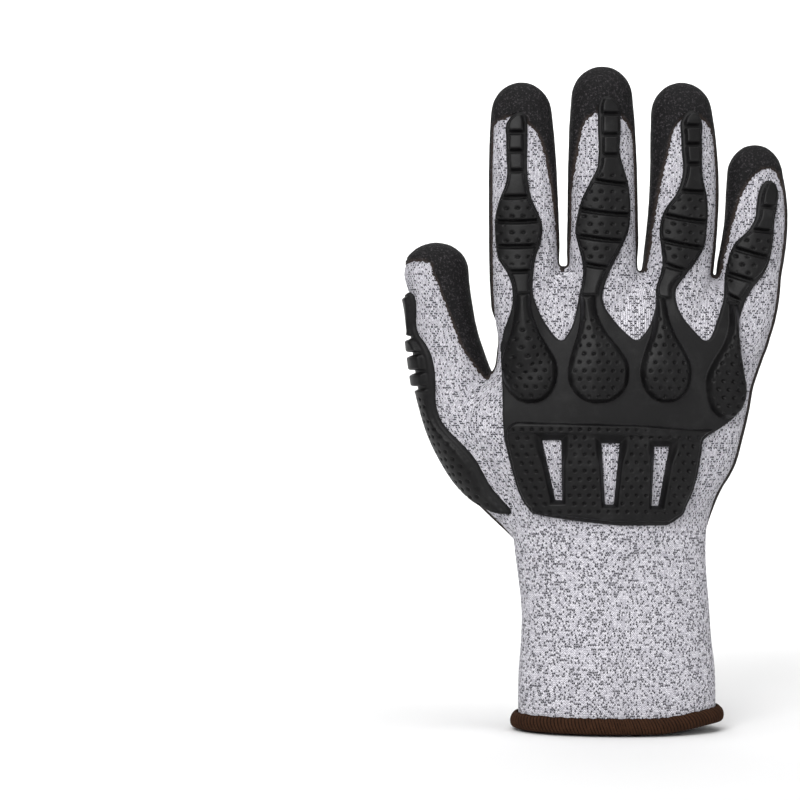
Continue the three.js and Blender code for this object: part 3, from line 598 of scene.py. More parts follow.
def framed(x, z, holes):
    """The rise of the frame round the slots, and where its pits lie."""
    top = guard_up(np.interp(x, guard_across(FRAME_TOP[0], FRAME_AT), FRAME_TOP[1]))
    corner = np.hypot(np.maximum(FRAME_LEFT + FRAME_CORNER - x, 0),
                      np.maximum(z - top + FRAME_CORNER, 0))
    value = np.minimum(np.minimum(inside(PLATE, x, z) - INSET, top - z), FRAME_CORNER - corner)
    near_top = ease((z - guard_up(0.58)) / 7.0)
    bevel = ease((-holes - 0.2) / (SLOT_BEVEL + SLOT_FLARE * near_top))
    ridge = ease((z - (top - RIDGE_WIDE)) / 1.2)
    rise = (FRAME_RISE + RIDGE_RISE * ridge) * rounded(value / FRAME_ROUND) * bevel
    return rise, (value > 1.4) * (holes < -2.2 - near_top)


def blocked(name, pod, x, z):
    """The rise of the blocks along a finger's strip, and where their pits lie."""
    rows, grooves = STRIPS[name], GROOVES[name]
    value = np.where(z > guard_up(pod[3]), inside(rows, x, z, low=False) - INSET, -9)
    order = np.argsort(rows["height"])
    height, left, right = (rows[key][order] for key in ("height", "left", "right"))
    places = guard_up(height)
    across = x - np.interp(z, places, guard_across((left + right) / 2, height))
    wide = np.interp(z, places, (right - left) * PALM_WIDTH / 2)
    for h, tilt, bow in zip(grooves["height"], grooves["tilt"], grooves["bow"]):
        line = guard_up(h) - tilt * across + bow * across * across
        value = np.minimum(value, np.abs(z - line) - GROOVE_HALF)
    return BLOCK_RISE * rounded(value / BLOCK_ROUND), (value > 1.0) * (wide > 6.0)


def back_height(x, z):
    """How far the guard's face stands above the knit."""
    outline, holes = back_outline(x, z)
    rise, pitted = framed(x, z, holes)
    height = FLANGE * rounded(outline / FLANGE_ROUND) + rise
    for name, pod in zip(STRIPS, PODS):
        rise, spots = blocked(name, pod, x, z)
        height += rise
        pitted = pitted | spots
    for pod in PODS:
        value = pod_inside(pod, x, z)
        dome = POD_DOME * rounded(value / (pod[2] * PALM_WIDTH)) * ease(value / 2)
        rise = POD_RIM * rounded(value / POD_ROUND) + dome
        height = np.where(value > 0, np.maximum(height, FLANGE + rise), height)
        pitted = pitted | ((value > POD_ROUND) & (z < guard_up(0.9)))
    height -= DIMPLE_DEPTH * (dimples(x, z) * pitted)
    return np.where(holes > -SLOT_ROUND, height * rounded(-holes / SLOT_ROUND), height)


THUMB_STRIP = table(
    EDGES, (0.9566, 0.1, 0.3), (0.952, 0.06, 0.36), (0.94, 0.045, 0.42),
    (0.916, 0.06, 0.43), (0.875, 0.095, 0.43), (0.862, 0.065, 0.43), (0.85, 0.02, 0.43),
    (0.828, -0.02, 0.43), (0.8, -0.036, 0.43), (0.767, -0.034, 0.425), (0.736, -0.018, 0.415),
    (0.703, 0.003, 0.4), (0.666, -0.018, 0.38), (0.648, -0.05, 0.365), (0.622, -0.095, 0.34),
    (0.593, -0.13, 0.3), (0.56, -0.145, 0.25), (0.531, -0.15, 0.17), (0.505, -0.162, 0.08),
    (0.487, -0.175, 0.0), (0.475, -0.18, -0.06), (0.469, -0.17, -0.1))
THUMB_GROOVES = (0.859, 0.8225, 0.783, 0.748)
THUMB_GROOVE_HALF = 0.6
# The strip's blocks: from and to which share of the fork's height, and their further rise
BLOCKS_FROM, BLOCKS_TO = 0.735, 0.875
THUMB_RISE = 1.5
THUMB_BLOCKS = 1.1


def depth_across(share, height):
    return np.asarray(share, float) * PALM_DEPTH


def thumb_inside(y, z):
    return inside(THUMB_STRIP, y, z, hand_up, depth_across)


def thumb_height(y, z):
    outline = thumb_inside(y, z)
    share = z / FORK
    at_blocks = ease((share - BLOCKS_FROM) / 0.02) * ease((BLOCKS_TO - share) / 0.02)
    value = outline - 1.2 - 0.4 * at_blocks
    for h in THUMB_GROOVES:
        value = np.minimum(value, np.abs(share - h) * FORK - THUMB_GROOVE_HALF)
    pits = dimples(y * 1.35, z * 1.1) * (value > 0.7) * (share < BLOCKS_FROM)
    raised = THUMB_RISE + THUMB_BLOCKS * at_blocks
    return (FLANGE * rounded(outline / FLANGE_ROUND) + raised * rounded(value)
            - DIMPLE_DEPTH * pits)


form = BVHTree.FromPolygons(outer_points.tolist(), outer_triangles.tolist())


def blurred(grid, weight, reach):
    """A grid eased over a number of cells, from the cells that have a weight."""
    steps = np.arange(-2 * reach, 2 * reach + 1)
    kernel = np.exp(-0.5 * (steps / reach) ** 2)
    total, seen = np.where(weight > 0, grid, 0), weight.astype(float)
    for axis in (0, 1):
        fold = lambda line: np.convolve(line, kernel, mode="same")
        total = np.apply_along_axis(fold, axis, total)
        seen = np.apply_along_axis(fold, axis, seen)
    return total / np.maximum(seen, 1e-6)


# How far outside a guard's outline the form is still felt for, how far the guard's foot stands
# off the form, and how far the skirt hangs from its edge
DRAPE_PAST = 3.0
FOOT = 0.3
SKIRT = 1.6


def threaded(axis, along, u, v):
    """Coordinates from a value along one axis and two across it."""
    return [u, along, v] if axis == 1 else [along, u, v]


def drape(low, high, axis, far, flat_inside, reach):
    """The form's surface as seen from far off along an axis, eased, on a grid."""
    sides = [np.arange(a, b + GRID, GRID) for a, b in zip(low, high)]
    U, V = np.meshgrid(*sides, indexing="ij")
    shape = flat_inside(U, V)
    depth = np.zeros_like(U)
    hit = np.zeros(U.shape, bool)
    forward = Vector(threaded(axis, 1, 0, 0))
    for i, j in zip(*np.nonzero(shape > -DRAPE_PAST)):
        origin = Vector(threaded(axis, -far, U[i, j], V[i, j]))
        place, _, _, distance = form.ray_cast(origin, forward)
        if place is not None:
            depth[i, j] = distance
            hit[i, j] = True
    even = blurred(depth, hit, reach)
    even = np.where(hit, np.minimum(depth, even), even)
    even = blurred(even, np.ones(U.shape), max(reach // 2, 1))
    return U, V, shape, even


def grid_triangles(rows, columns):
    row, column = np.arange(rows - 1)[:, None], np.arange(columns - 1)[None]
    a = (row * columns + column).ravel()
    b, c, d = a + columns, a + columns + 1, a + 1
    odd = (row + column).ravel()[:, None] % 2 == 1
    first = np.where(odd, np.stack([a, b, c], 1), np.stack([a, b, d], 1))
    second = np.where(odd, np.stack([a, c, d], 1), np.stack([b, c, d], 1))
    return np.concatenate([first, second])


def skirted(points, triangles, normals, drop):
    """A strip hung from each open edge, so that a face ends in an edge with a thickness."""
    edges = edges_of(triangles)
    _, first, count = np.unique(np.sort(edges, 1), axis=0, return_index=True, return_counts=True)
    border = edges[first[count == 1]]
    used = np.unique(border)
    index = {int(old): len(points) + k for k, old in enumerate(used)}
    lowered = points[used] - normals[used] * drop
    more = []
    for a, b in border.tolist():
        more += [(b, a, index[a]), (b, index[a], index[b])]
    return np.concatenate([points, lowered]), np.concatenate([triangles, np.array(more)])


def moulding(name, low, high, axis, far, flat_inside, rise, reach):
    """A guard laid over the form, seen from far off along an axis."""
    U, V, shape, even = drape(low, high, axis, far, flat_inside, max(int(reach / GRID), 1))
    slope_u, slope_v = np.gradient(even, GRID)
    height = rise(U, V)
    normal = unit(np.stack(threaded(axis, -np.ones_like(U), slope_u, slope_v), 2))
    points = np.stack(threaded(axis, even - FOOT - far, U, V), 2) + normal * height[..., None]
    triangles = grid_triangles(*U.shape)
    near = shape.ravel() > -1.0
    triangles = triangles[near[triangles].all(1)]
    points, triangles, normals, lift = clip(
        points.reshape(-1, 3), triangles, shape.ravel() - 0.02,
        (normal.reshape(-1, 3), height.ravel()))
    a, b, c = (points[triangles[:, i]] for i in range(3))
    facing = np.einsum("ij,ij->i", np.cross(b - a, c - a), normals[triangles[:, 0]])
    if np.median(facing) < 0:
        triangles = triangles[:, ::-1]
    points, triangles = skirted(points, triangles, normals, SKIRT)
    return finished(name, points, triangles, "rise", lift)


def smooth(obj):
    obj.data.polygons.foreach_set("use_smooth", [True] * len(obj.data.polygons))
    obj.data.update()


def finished(name, points, faces, field, values):
    """A smooth object with a value at each point, 0 at the points that have none."""
    obj = new_mesh(name, points, faces.tolist())
    values = np.concatenate([values, np.zeros(len(points) - len(values))])
    layer = obj.data.attributes.new(field, "FLOAT", "POINT")
    layer.data.foreach_set("value", values.astype(np.float32))
    smooth(obj)
    return obj


def back_shape(x, z):
    outline, holes = back_outline(x, z)
    return np.minimum(outline, -holes)


back_guard = moulding("back_guard_rubber", (-50.0, guard_up(0.446)), (64.0, guard_up(1.388)),
                      1, 100.0, back_shape, back_height, 2.6)
thumb_guard = moulding("thumb_guard_rubber", (-11.0, 0.465 * FORK), (19.0, 0.965 * FORK),
                       0, 150.0, thumb_inside, thumb_height, 2.0)


def noise_grid(points, cell, seed):
    """Smooth random values from -1 to 1 in space, one to a cell of the given size."""
    at = points / cell
    base = np.floor(at).astype(np.int64)
    t = at - base
    t = t * t * (3 - 2 * t)
    total = np.zeros(len(points))
    for corner in range(8):
        step = np.array([corner & 1, corner >> 1 & 1, corner >> 2 & 1])
        k = base + step
        h = (k[:, 0] * 73856093) ^ (k[:, 1] * 19349663) ^ (k[:, 2] * 83492791) ^ seed
        h = (h ^ (h >> 13)) * 1274126177 & 0x7FFFFFFF
        value = (h ^ (h >> 16)) / 0x7FFFFFFF * 2 - 1
        weight = np.where(step, t, 1 - t).prod(1)
        total += value * weight
    return total


def window_top(rows, x, z):
    return inside(rows, x, z, hand_up, hand_across, low=False)


# Bare knit on the back of the fingers and thumb, as edges across at heights
WINDOWS = {
    "index": table(
        EDGES, (1.338, -0.398, -0.382), (1.33, -0.438, -0.35), (1.318, -0.466, -0.326),
        (1.297, -0.49, -0.298), (1.267, -0.51, -0.279), (1.223, -0.522, -0.262),
        (1.182, -0.53, -0.25), (1.08, -0.55, -0.228), (0.98, -0.56, -0.21)),
    "middle": table(
        EDGES, (1.355, -0.072, -0.026), (1.348, -0.0796, -0.0107), (1.3385, -0.1055, 0.009),
        (1.3166, -0.1277, 0.0389), (1.2946, -0.1385, 0.0537), (1.247, -0.1535, 0.0685),
        (1.182, -0.168, 0.083), (0.98, -0.2, 0.085)),
    "ring": table(
        EDGES, (1.34, 0.257, 0.29), (1.332, 0.235, 0.3127), (1.3166, 0.211, 0.336),
        (1.296, 0.196, 0.352), (1.258, 0.183, 0.361), (1.22, 0.166, 0.371),
        (1.145, 0.1425, 0.398), (0.98, 0.1, 0.37)),
    "little": table(
        EDGES, (1.2255, 0.538, 0.561), (1.2175, 0.516, 0.583), (1.2, 0.487, 0.6),
        (1.1715, 0.457, 0.616), (1.1366, 0.438, 0.64), (1.054, 0.4015, 0.7), (0.96, 0.37, 0.7)),
}
THUMB_WINDOW = table(
    EDGES, (1.0238, -0.75, -0.729), (1.019, -0.78, -0.704), (1.0, -0.83, -0.686),
    (0.9826, -1, -0.6716), (0.94, -1, -0.645), (0.888, -1, -0.612), (0.8286, -1, -0.5717),
    (0.772, -1, -0.505), (0.74, -1, -0.47))
# How far the coating's edge lies behind a finger's axis and past the thumb's, and where the
# thumb's side of the glove lies as a share of the palm's depth
EDGE_BEHIND = 2.6
EDGE_PAST = 3.0
THUMB_FORWARD = 0.21
# The bare back of the hand ends at these shares of the palm's width at heights
BACK_LEFT = table("height share", (0.42, -0.7), (0.76, -0.5), (0.98, -0.6))
HEEL_RIGHT = table("height share", (0.42, -0.35), (0.76, -0.46))
# How much further the knit stays bare in the web between thumb and index finger, and in the
# two forks beside the middle finger
WEB_BARE = 6.0
FORK_BARE = 3.4
BARE_FORKS = (-20.7, 8.6)
# The coating's lower edge on the palm side
COAT_EDGE = table(
    "across height", (-70, 80), (-44, 76), (-37, 70.3), (-30, 61.8), (-21.2, 57.9),
    (-8.5, 56), (0, 56.3), (8.1, 57.6), (18.1, 61.6), (27.7, 68.8), (33, 76), (36.2, 83),
    (41, 93), (50, 104), (80, 110))


def limit(rows, z):
    return np.interp(z, rows["height"] * FORK, rows["share"] * PALM_WIDTH)


def coated(points):
    """How far a place on the glove lies inside the coating, in millimetres."""
    x, y, z = points.T
    beside = np.abs(x[:, None] - np.array(BARE_FORKS)).min(1)
    forks = FORK_BARE * ease((8 - beside) / 4)
    forks = forks * ease((z - FORK + 9) / 7) * ease((FORK + 14 - z) / 10)
    web = ease((-40 - x) / 5) * ease((x + 49.5) / 1.2)
    web = web * ease((z - 126) / 8) * ease((164 - z) / 8)
    bare = np.full(len(x), OUTSIDE)
    for name, finger in FINGERS.items():
        up = np.clip((z - FORK) / (finger["length"] - FINGER_DOME), 0, 9)
        axis = finger["fork_y"] + (finger["tip_y"] - finger["fork_y"]) * up * up
        value = np.minimum(window_top(WINDOWS[name], x, z), axis + forks - EDGE_BEHIND - y)
        bare = np.maximum(bare, np.where(z > 0.96 * FORK, value, OUTSIDE))
    side = THUMB_FORWARD * PALM_DEPTH
    thumb = np.minimum(window_top(THUMB_WINDOW, x, z), side + EDGE_PAST - y)
    thumb = np.where(z > 0.72 * FORK, thumb, OUTSIDE)
    back = np.minimum(WEB_BARE * web + forks - EDGE_BEHIND - y, x - limit(BACK_LEFT, z))
    back = np.minimum(back, 0.999 * FORK - z)
    heel = np.minimum(np.minimum(side - y, limit(HEEL_RIGHT, z) - x), 0.765 * FORK - z)
    for value in (thumb, back, heel):
        bare = np.maximum(bare, value)
    edge, beyond = (np.interp(x + step, COAT_EDGE["across"], COAT_EDGE["height"])
                    for step in (0, 1))
    return np.minimum(-bare, (z - edge) / np.hypot(1, beyond - edge))


# How far the cuff's mouth rises on the little finger's side
MOUTH_RISE = 2.6


def lifted(points):
    points = points.copy()
    points[:, 2] += MOUTH_RISE * ease((points[:, 0] - 12) / 26) * (1 - ease(points[:, 2] / 60))
    return points


# The coating's height at its edge, how much it rises from there, and how far its skirt hangs
COAT_EDGE_HEIGHT = 0.22
COAT_RISE = 0.85
COAT_SKIRT = 0.9


def grip_coating():
    normals = vertex_normals(outer_points, outer_triangles)
    value = coated(outer_points)
    triangles = outer_triangles[(value[outer_triangles] > -2.5).any(1)]
    points = outer_points
    for reach in ((2.4, 0.9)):
        near = (np.abs(value[triangles]) < reach).any(1)
        triangles, points, normals = split(triangles, points, near, [normals])
        value = coated(points)
    ragged = value + 0.42 * noise_grid(points, 1.15, 5) + 0.3 * noise_grid(points, 0.62, 9)
    points, triangles, normals = clip(points, triangles, ragged, [normals])
    normals = unit(normals)
    value = np.maximum(coated(points) + 0.4, 0)
    height = COAT_EDGE_HEIGHT + COAT_RISE * ease(value / 2.0)
    for line, wide, _ in CREASES:
        height -= CREASE_THINNED * crease(points, line, wide / 2)
    height += 0.05 * noise_grid(points, 2.6, 21)
    points += normals * height[:, None]
    points, triangles = skirted(points, triangles, normals, COAT_SKIRT)
    return finished("coating_skin", lifted(points), triangles, "edge", value)


STITCH_WIDE = 1.12
STITCH_HIGH = 0.86


def limb_table(rows, dome):
    """A limb's axis and reach at heights, its length, and its stitches round and along."""
    path = np.concatenate([[0], np.cumsum(np.hypot(np.diff(rows["x"]), np.diff(rows["z"])))])
    angle = np.linspace(-math.pi, math.pi, 721)
    wide = (rows["left"].mean() + rows["right"].mean()) / 2
    deep = (rows["back"].mean() + rows["palm"].mean()) / 2
    power = 2 / rows["power"].mean()
    px, py = wide * bent(np.cos(angle), power), deep * bent(np.sin(angle), power)
    arc = np.concatenate([[0], np.cumsum(np.hypot(np.diff(px), np.diff(py)))])
    return dict(rows=rows, path=path, angle=angle, arc=arc / arc[-1], dome=dome,
                count=round(arc[-1] / STITCH_WIDE))


limbs = [limb_table(body_sections(), 0)]
limbs += [limb_table(finger_sections(finger), FINGER_DOME) for finger in FINGERS.values()]
limbs.append(limb_table(thumb_sections(), THUMB_DOME))


def at_height(limb, z):
    rows = limb["rows"]
    return [np.interp(z, rows["z"], rows[key]) for key in ("x", "y", *SIDES, "power")]


def limb_level(limb, x, y, z):
    cx, cy, left, right, back, palm, power = at_height(limb, z)
    top, bottom = limb["rows"]["z"][-1], limb["rows"]["z"][0]
    beyond = np.clip((z - top) / max(limb["dome"], 1.0), 0, 1)
    shrink = np.sqrt(np.maximum(1 - beyond ** 2, 0.02))
    wide = np.where(x < cx, left, right) * shrink
    deep = np.where(y < cy, back, palm) * shrink
    level = (np.abs(x - cx) / wide) ** power + (np.abs(y - cy) / deep) ** power
    away = (z > top + limb["dome"] + 1.5) | (z < bottom - 1)
    return np.where(away, 99, level)


def share_round(limb, x, y, z):
    cx, cy, left, right, back, palm, power = at_height(limb, z)
    u = (x - cx) / np.where(x < cx, left, right)
    v = (y - cy) / np.where(y < cy, back, palm)
    angle = np.arctan2(bent(v, power / 2), bent(u, power / 2))
    share = np.interp(angle, limb["angle"], limb["arc"])
    return np.mod(share + 0.25, 1.0)


def stitches(obj, points, triangles):
    """Stitch counts round and along each limb as the mesh's UV map."""
    centres = points[triangles].mean(1)
    levels = np.stack([limb_level(limb, *centres.T) for limb in limbs])
    limb_of = levels.argmin(0)
    u = np.zeros(triangles.shape)
    v = np.zeros(triangles.shape)
    for k, limb in enumerate(limbs):
        mine = limb_of == k
        if not mine.any():
            continue
        middle = share_round(limb, *centres[mine].T)
        for corner in range(3):
            p = points[triangles[mine, corner]]
            share = share_round(limb, *p.T)
            share = middle + np.mod(share - middle + 0.5, 1.0) - 0.5
            u[mine, corner] = share * limb["count"] + 200 * k
            path = np.interp(p[:, 2], limb["rows"]["z"], limb["path"])
            v[mine, corner] = (path + np.maximum(p[:, 2] - limb["rows"]["z"][-1], 0)) / STITCH_HIGH
    layer = obj.data.uv_layers.new(name="Stitches")
    layer.data.foreach_set("uv", np.stack([u, v], 2).astype(np.float32).ravel())


def ring_order(points, triangles):
    """The open edge's points in order round the middle, back to the first, and their angles."""
    unique, count = np.unique(np.sort(edges_of(triangles), 1), axis=0, return_counts=True)
    border = np.unique(unique[count == 1])
    angle = np.arctan2(points[border, 1], points[border, 0])
    order = np.argsort(angle)
    border, angle = border[order], angle[order]
    return np.append(border, border[0]), np.append(angle, angle[0] + 2 * math.pi)


def knit_shell():
    sheets = []
    for points, triangles in ((outer_points, outer_triangles), (inner_points, inner_triangles)):
        sheets.append(clip(points, triangles, points[:, 2] - HEM_FLOOR - 0.4))
    (outside, faces), (within, more) = sheets
    points = np.concatenate([outside, within])
    inner_faces = more[:, ::-1] + len(outside)
    ring_a, angle_a = ring_order(outside, faces)
    ring_b, angle_b = ring_order(within, more)
    ring_b = ring_b + len(outside)
    last_a, last_b = len(ring_a) - 1, len(ring_b) - 1
    i = j = 0
    rim = []
    while i < last_a or j < last_b:
        if j == last_b or (i < last_a and angle_a[i + 1] < angle_b[j + 1]):
            rim.append((ring_a[i], ring_b[j], ring_a[i + 1]))
            i += 1
        else:
            rim.append((ring_a[i], ring_b[j], ring_b[j + 1]))
            j += 1
    triangles = np.concatenate([faces, inner_faces, np.array(rim)])
    obj = new_mesh("knitted_shell", lifted(points), triangles.tolist())
    stitches(obj, points, triangles)
    smooth(obj)
    return obj


# The hem: its yarns round the cuff, their slant, and its section, out and up from the knit's edge
THREADS = 150
HEM_SLANT = 3.4
HEM_AT = 4.0
HEM_PROFILE = [
    (0.75, 0.15), (1.9, 0.15), (2.7, 0.9), (3.05, 2.2), (2.95, 3.6), (2.3, 5.0), (1.3, 5.9),
    (0.5, 6.25), (0.36, 5.6), (0.36, 4.0), (0.36, 2.55), (-0.9, 2.5), (-1.95, 2.55),
    (-1.95, 4.4), (-2.1, 6.0), (-2.9, 5.7), (-3.3, 4.0), (-3.3, 1.8), (-2.6, 0.5), (-1.0, 0.15)]


def cuff_hem():
    """The overlocked hem: slanted yarns wrapped over the knit's edge, inside and out."""
    closed = np.array(HEM_PROFILE + HEM_PROFILE[:1])
    steps = np.concatenate([[0], np.cumsum(np.hypot(*np.diff(closed, axis=0).T))])
    around = np.linspace(0, steps[-1], 36, endpoint=False)
    reach, height = (np.interp(around, steps, column) for column in closed.T)
    columns = THREADS * 7
    angle = np.linspace(0, 2 * math.pi, columns, endpoint=False)
    c, s = np.cos(angle), np.sin(angle)
    _, _, left, right, back, palm, power = at_height(limbs[0], HEM_AT)
    power = 2 / power
    turned = np.mod(angle + math.pi, 2 * math.pi) - math.pi
    phase = np.interp(turned, limbs[0]["angle"], limbs[0]["arc"])
    rings, yarn_crests_for_shade = [], []
    for r, h in zip(reach, height):
        outward = 1 if r > 0.3 and h > 0.1 else -1 if r < -2.0 else 0
        wave = np.abs(np.cos(math.pi * (phase * THREADS + outward * h / HEM_SLANT)))
        swell = (0.62 * wave ** 0.7 - 0.3) * (1 if r > 0.45 else -1 if r < -2.0 else 0)
        # Each yarn's crest, 1 on top and 0 between yarns, kept to paint shade between the yarns
        yarn_crests_for_shade.append(wave)
        uneven = 0.16 * np.sin(phase * THREADS * 1.7 + 3 * np.sin(phase * 40)) * (r > 0.45)
        grow = r + swell
        x = (np.where(c < 0, left, right) + grow) * bent(c, power)
        y = (np.where(s < 0, back, palm) + grow) * bent(s, power)
        rings.append(np.stack([x, y, np.full(columns, h) + uneven * (h > 3)], 1))
    points = np.concatenate(rings)
    k = np.arange(columns)
    n = (k + 1) % columns
    starts = np.arange(len(rings)) * columns
    faces = [np.stack([a + k, a + n, b + n, b + k], 1)
             for a, b in zip(starts, np.roll(starts, -1))]
    return finished("overlock_hem", lifted(points), np.concatenate(faces), "yarn",
                    np.concatenate(yarn_crests_for_shade))


shell = knit_shell()
coating = grip_coating()
hem = cuff_hem()


# Materials
class Nodes:
    """Short calls for building a material's nodes."""

    def __init__(self, name):
        self.material = bpy.data.materials.new(name)
        self.material.use_nodes = True
        self.tree = self.material.node_tree
        self.tree.nodes.clear()
        self.out = self.node("ShaderNodeOutputMaterial")
        self.shader = self.node("ShaderNodeBsdfPrincipled")
        self.tree.links.new(self.shader.outputs[0], self.out.inputs["Surface"])

    def node(self, kind, **values):
        node = self.tree.nodes.new(kind)
        for key, value in values.items():
            setattr(node, key, value)
        return node

    def link(self, value, socket):
        if isinstance(value, bpy.types.NodeSocket):
            self.tree.links.new(value, socket)
        else:
            socket.default_value = value

    def math(self, operation, *values):
        node = self.node("ShaderNodeMath", operation=operation)
        for value, socket in zip(values, node.inputs):
            self.link(value, socket)
        return node.outputs[0]

    def add(self, a, b):
        return self.math("ADD", a, b)

    def sub(self, a, b):
        return self.math("SUBTRACT", a, b)

    def mul(self, a, b):
        return self.math("MULTIPLY", a, b)

    def floor(self, value):
        return self.math("FLOOR", value)

    def arch(self, value):
        """From 0 over 1 to 0 again for each whole step of a value."""
        return self.math("SINE", self.mul(self.math("FRACT", value), math.pi))

    def step(self, value, low, high, first=0.0, last=1.0):
        node = self.node("ShaderNodeMapRange", interpolation_type="SMOOTHSTEP")
        names = ("Value", "From Min", "From Max", "To Min", "To Max")
        for item, name in zip((value, low, high, first, last), names):
            self.link(item, node.inputs[name])
        return node.outputs["Result"]

    def paint(self, color, socket):
        self.link((*color, 1) if isinstance(color, tuple) else color, socket)

    def mix(self, factor, a, b):
        node = self.node("ShaderNodeMix", data_type="RGBA")
        self.link(factor, node.inputs["Factor"])
        for item, name in ((a, "A"), (b, "B")):
            socket = [s for s in node.inputs if s.name == name and s.type == "RGBA"][0]
            self.paint(item, socket)
        return [s for s in node.outputs if s.type == "RGBA"][0]

    def white(self, u, v):
        node = self.node("ShaderNodeTexWhiteNoise", noise_dimensions="2D")
        both = self.node("ShaderNodeCombineXYZ")
        self.link(u, both.inputs[0])
        self.link(v, both.inputs[1])
        self.link(both.outputs[0], node.inputs["Vector"])
        return node.outputs["Value"]

    def noise(self, scale, detail=2.0, roughness=0.5):
        place = self.node("ShaderNodeTexCoord").outputs["Object"]
        node = self.node("ShaderNodeTexNoise")
        for item, name in zip((place, scale, detail, roughness),
                              ("Vector", "Scale", "Detail", "Roughness")):
            self.link(item, node.inputs[name])
        return node.outputs["Fac"]

    def parts(self, value):
        node = self.node("ShaderNodeSeparateXYZ")
        self.link(value, node.inputs[0])
        return node.outputs

    def up(self):
        """The height above the cuff's mouth, in metres."""
        return self.parts(self.node("ShaderNodeTexCoord").outputs["Object"])[2]

    def value(self, name):
        return self.node("ShaderNodeAttribute", attribute_name=name).outputs["Fac"]

    def bump(self, height, distance, strength=1.0):
        node = self.node("ShaderNodeBump")
        for item, name in zip((strength, distance, height), ("Strength", "Distance", "Height")):
            self.link(item, node.inputs[name])
        self.link(node.outputs[0], self.shader.inputs["Normal"])

    def finish(self, color, roughness, specular=0.5):
        self.paint(color, self.shader.inputs["Base Color"])
        self.link(roughness, self.shader.inputs["Roughness"])
        self.shader.inputs["Specular IOR Level"].default_value = specular
        return self.material


def knit_material():
    """Stitches in two legs that slant to each other on the hand and ribs on the cuff, in a pale
    yarn with dark strokes from stitch to stitch."""
    n = Nodes("Knit")
    u, v = n.parts(n.node("ShaderNodeUVMap", uv_map="Stitches").outputs[0])[:2]
    cuff = n.step(n.up(), 0.074, 0.084, 1.0, 0.0)
    leg = n.math("ABSOLUTE", n.sub(n.mul(n.math("FRACT", u), 2), 1))
    wander = n.mul(n.sub(n.noise(900, 2), 0.5), 0.85)
    row = n.add(n.add(v, n.mul(leg, 0.5)), wander)
    half = n.add(n.mul(u, 2), n.mul(wander, 0.6))
    across, along = n.arch(half), n.arch(row)
    plain = n.mul(n.math("POWER", across, 0.6), n.add(0.4, n.mul(along, 0.6)))
    ribbed = n.mul(n.add(0.6, n.mul(across, 0.4)), n.add(0.2, n.mul(along, 0.8)))
    height = n.add(n.mul(plain, n.sub(1, cuff)), n.mul(ribbed, cuff))
    # Painted shade in the gaps between stitches, darkest where both a stitch's leg and its row
    # fall away
    painted_gap_shade = n.step(n.mul(n.sub(1, across), n.sub(1, along)), 0.2, 0.7, 0.0, 0.75)
    on_cuff = n.math("LESS_THAN", n.up(), 0.0785)
    shift = n.add(n.mul(u, 0.6), n.mul(n.white(n.floor(row), 7.5), 5))
    wide = n.sub(half, n.mul(on_cuff, shift))
    cell_u, cell_v = n.floor(wide), n.floor(row)
    tone = n.white(n.add(cell_u, 31.5), cell_v)
    dark = n.step(n.white(cell_u, cell_v), 0.3, 0.36, 1.0, 0.0)
    stroke = n.mul(n.step(n.arch(wide), 0.1, 0.35), n.step(along, 0.42, 0.72))
    yarn = n.mix(tone, (0.50, 0.487, 0.54), (0.83, 0.815, 0.865))
    yarn = n.mix(n.mul(n.noise(95, 2), 0.25), yarn, (0.47, 0.46, 0.52))
    yarn = n.mix(n.mul(dark, stroke), yarn, (0.006, 0.006, 0.01))
    # Painted shade: the yarn turns a dark grey-blue where the stitches' surface lies low
    color = n.mix(n.step(height, 0.0, 0.5), (0.15, 0.15, 0.175), yarn)
    color = n.mix(painted_gap_shade, color, (0.05, 0.05, 0.06))
    n.bump(n.add(height, n.mul(n.noise(3800, 3, 0.7), 0.25)), 0.00034, 0.9)
    n.shader.inputs["Sheen Weight"].default_value = 0.04
    n.shader.inputs["Sheen Roughness"].default_value = 0.6
    return n.finish(color, 0.88, 0.2)


def coating_material():
    n = Nodes("Coating")
    edge = n.step(n.value("edge"), 0.1, 1.6)
    grain = n.noise(1150, 3, 0.75)
    color = n.mix(n.mul(n.noise(60, 3), 0.6), (0.004, 0.004, 0.0045), (0.009, 0.0085, 0.009))
    color = n.mix(edge, (0.036, 0.026, 0.021), color)
    color = n.mix(n.step(grain, 0.5, 0.68), color, (0.052, 0.047, 0.051))
    n.bump(n.add(grain, n.mul(n.noise(520, 3), 0.7)), 0.0006, 1.0)
    return n.finish(color, n.step(grain, 0.3, 0.7, 0.6, 0.85), 0.15)


def guard_material():
    n = Nodes("Guard")
    grain = n.noise(1400, 4, 0.6)
    rise = n.step(n.value("rise"), 1.75, 2.6)
    dust = n.step(n.noise(520, 5, 0.8), 0.69, 0.76, 0.0, 0.22)
    color = n.mix(rise, (0.0068, 0.0066, 0.0070), (0.0036, 0.0034, 0.0037))
    color = n.mix(n.step(n.noise(70, 5, 0.7), 0.48, 0.72), color, (0.013, 0.0128, 0.0132))
    color = n.mix(dust, color, (0.16, 0.16, 0.16))
    n.bump(n.add(grain, n.mul(n.noise(260, 2), 0.6)), 0.00008, 0.6)
    rough = n.add(n.mul(rise, -0.08), n.add(0.46, n.mul(n.noise(150, 3), 0.14)))
    return n.finish(color, rough, 0.18)


def hem_material():
    n = Nodes("Hem")
    fibre = n.noise(2400, 4, 0.7)
    color = n.mix(n.noise(230, 3), (0.022, 0.0095, 0.0048), (0.055, 0.024, 0.012))
    color = n.mix(n.step(fibre, 0.5, 0.75, 0.0, 0.5), color, (0.075, 0.036, 0.02))
    # Painted shade: near black in the grooves between the yarns, where the yarn crest falls to 0
    color = n.mix(n.step(n.value("yarn"), 0.05, 0.75), (0.004, 0.002, 0.0015), color)
    n.bump(fibre, 0.00022, 0.9)
    return n.finish(color, 0.9, 0.1)


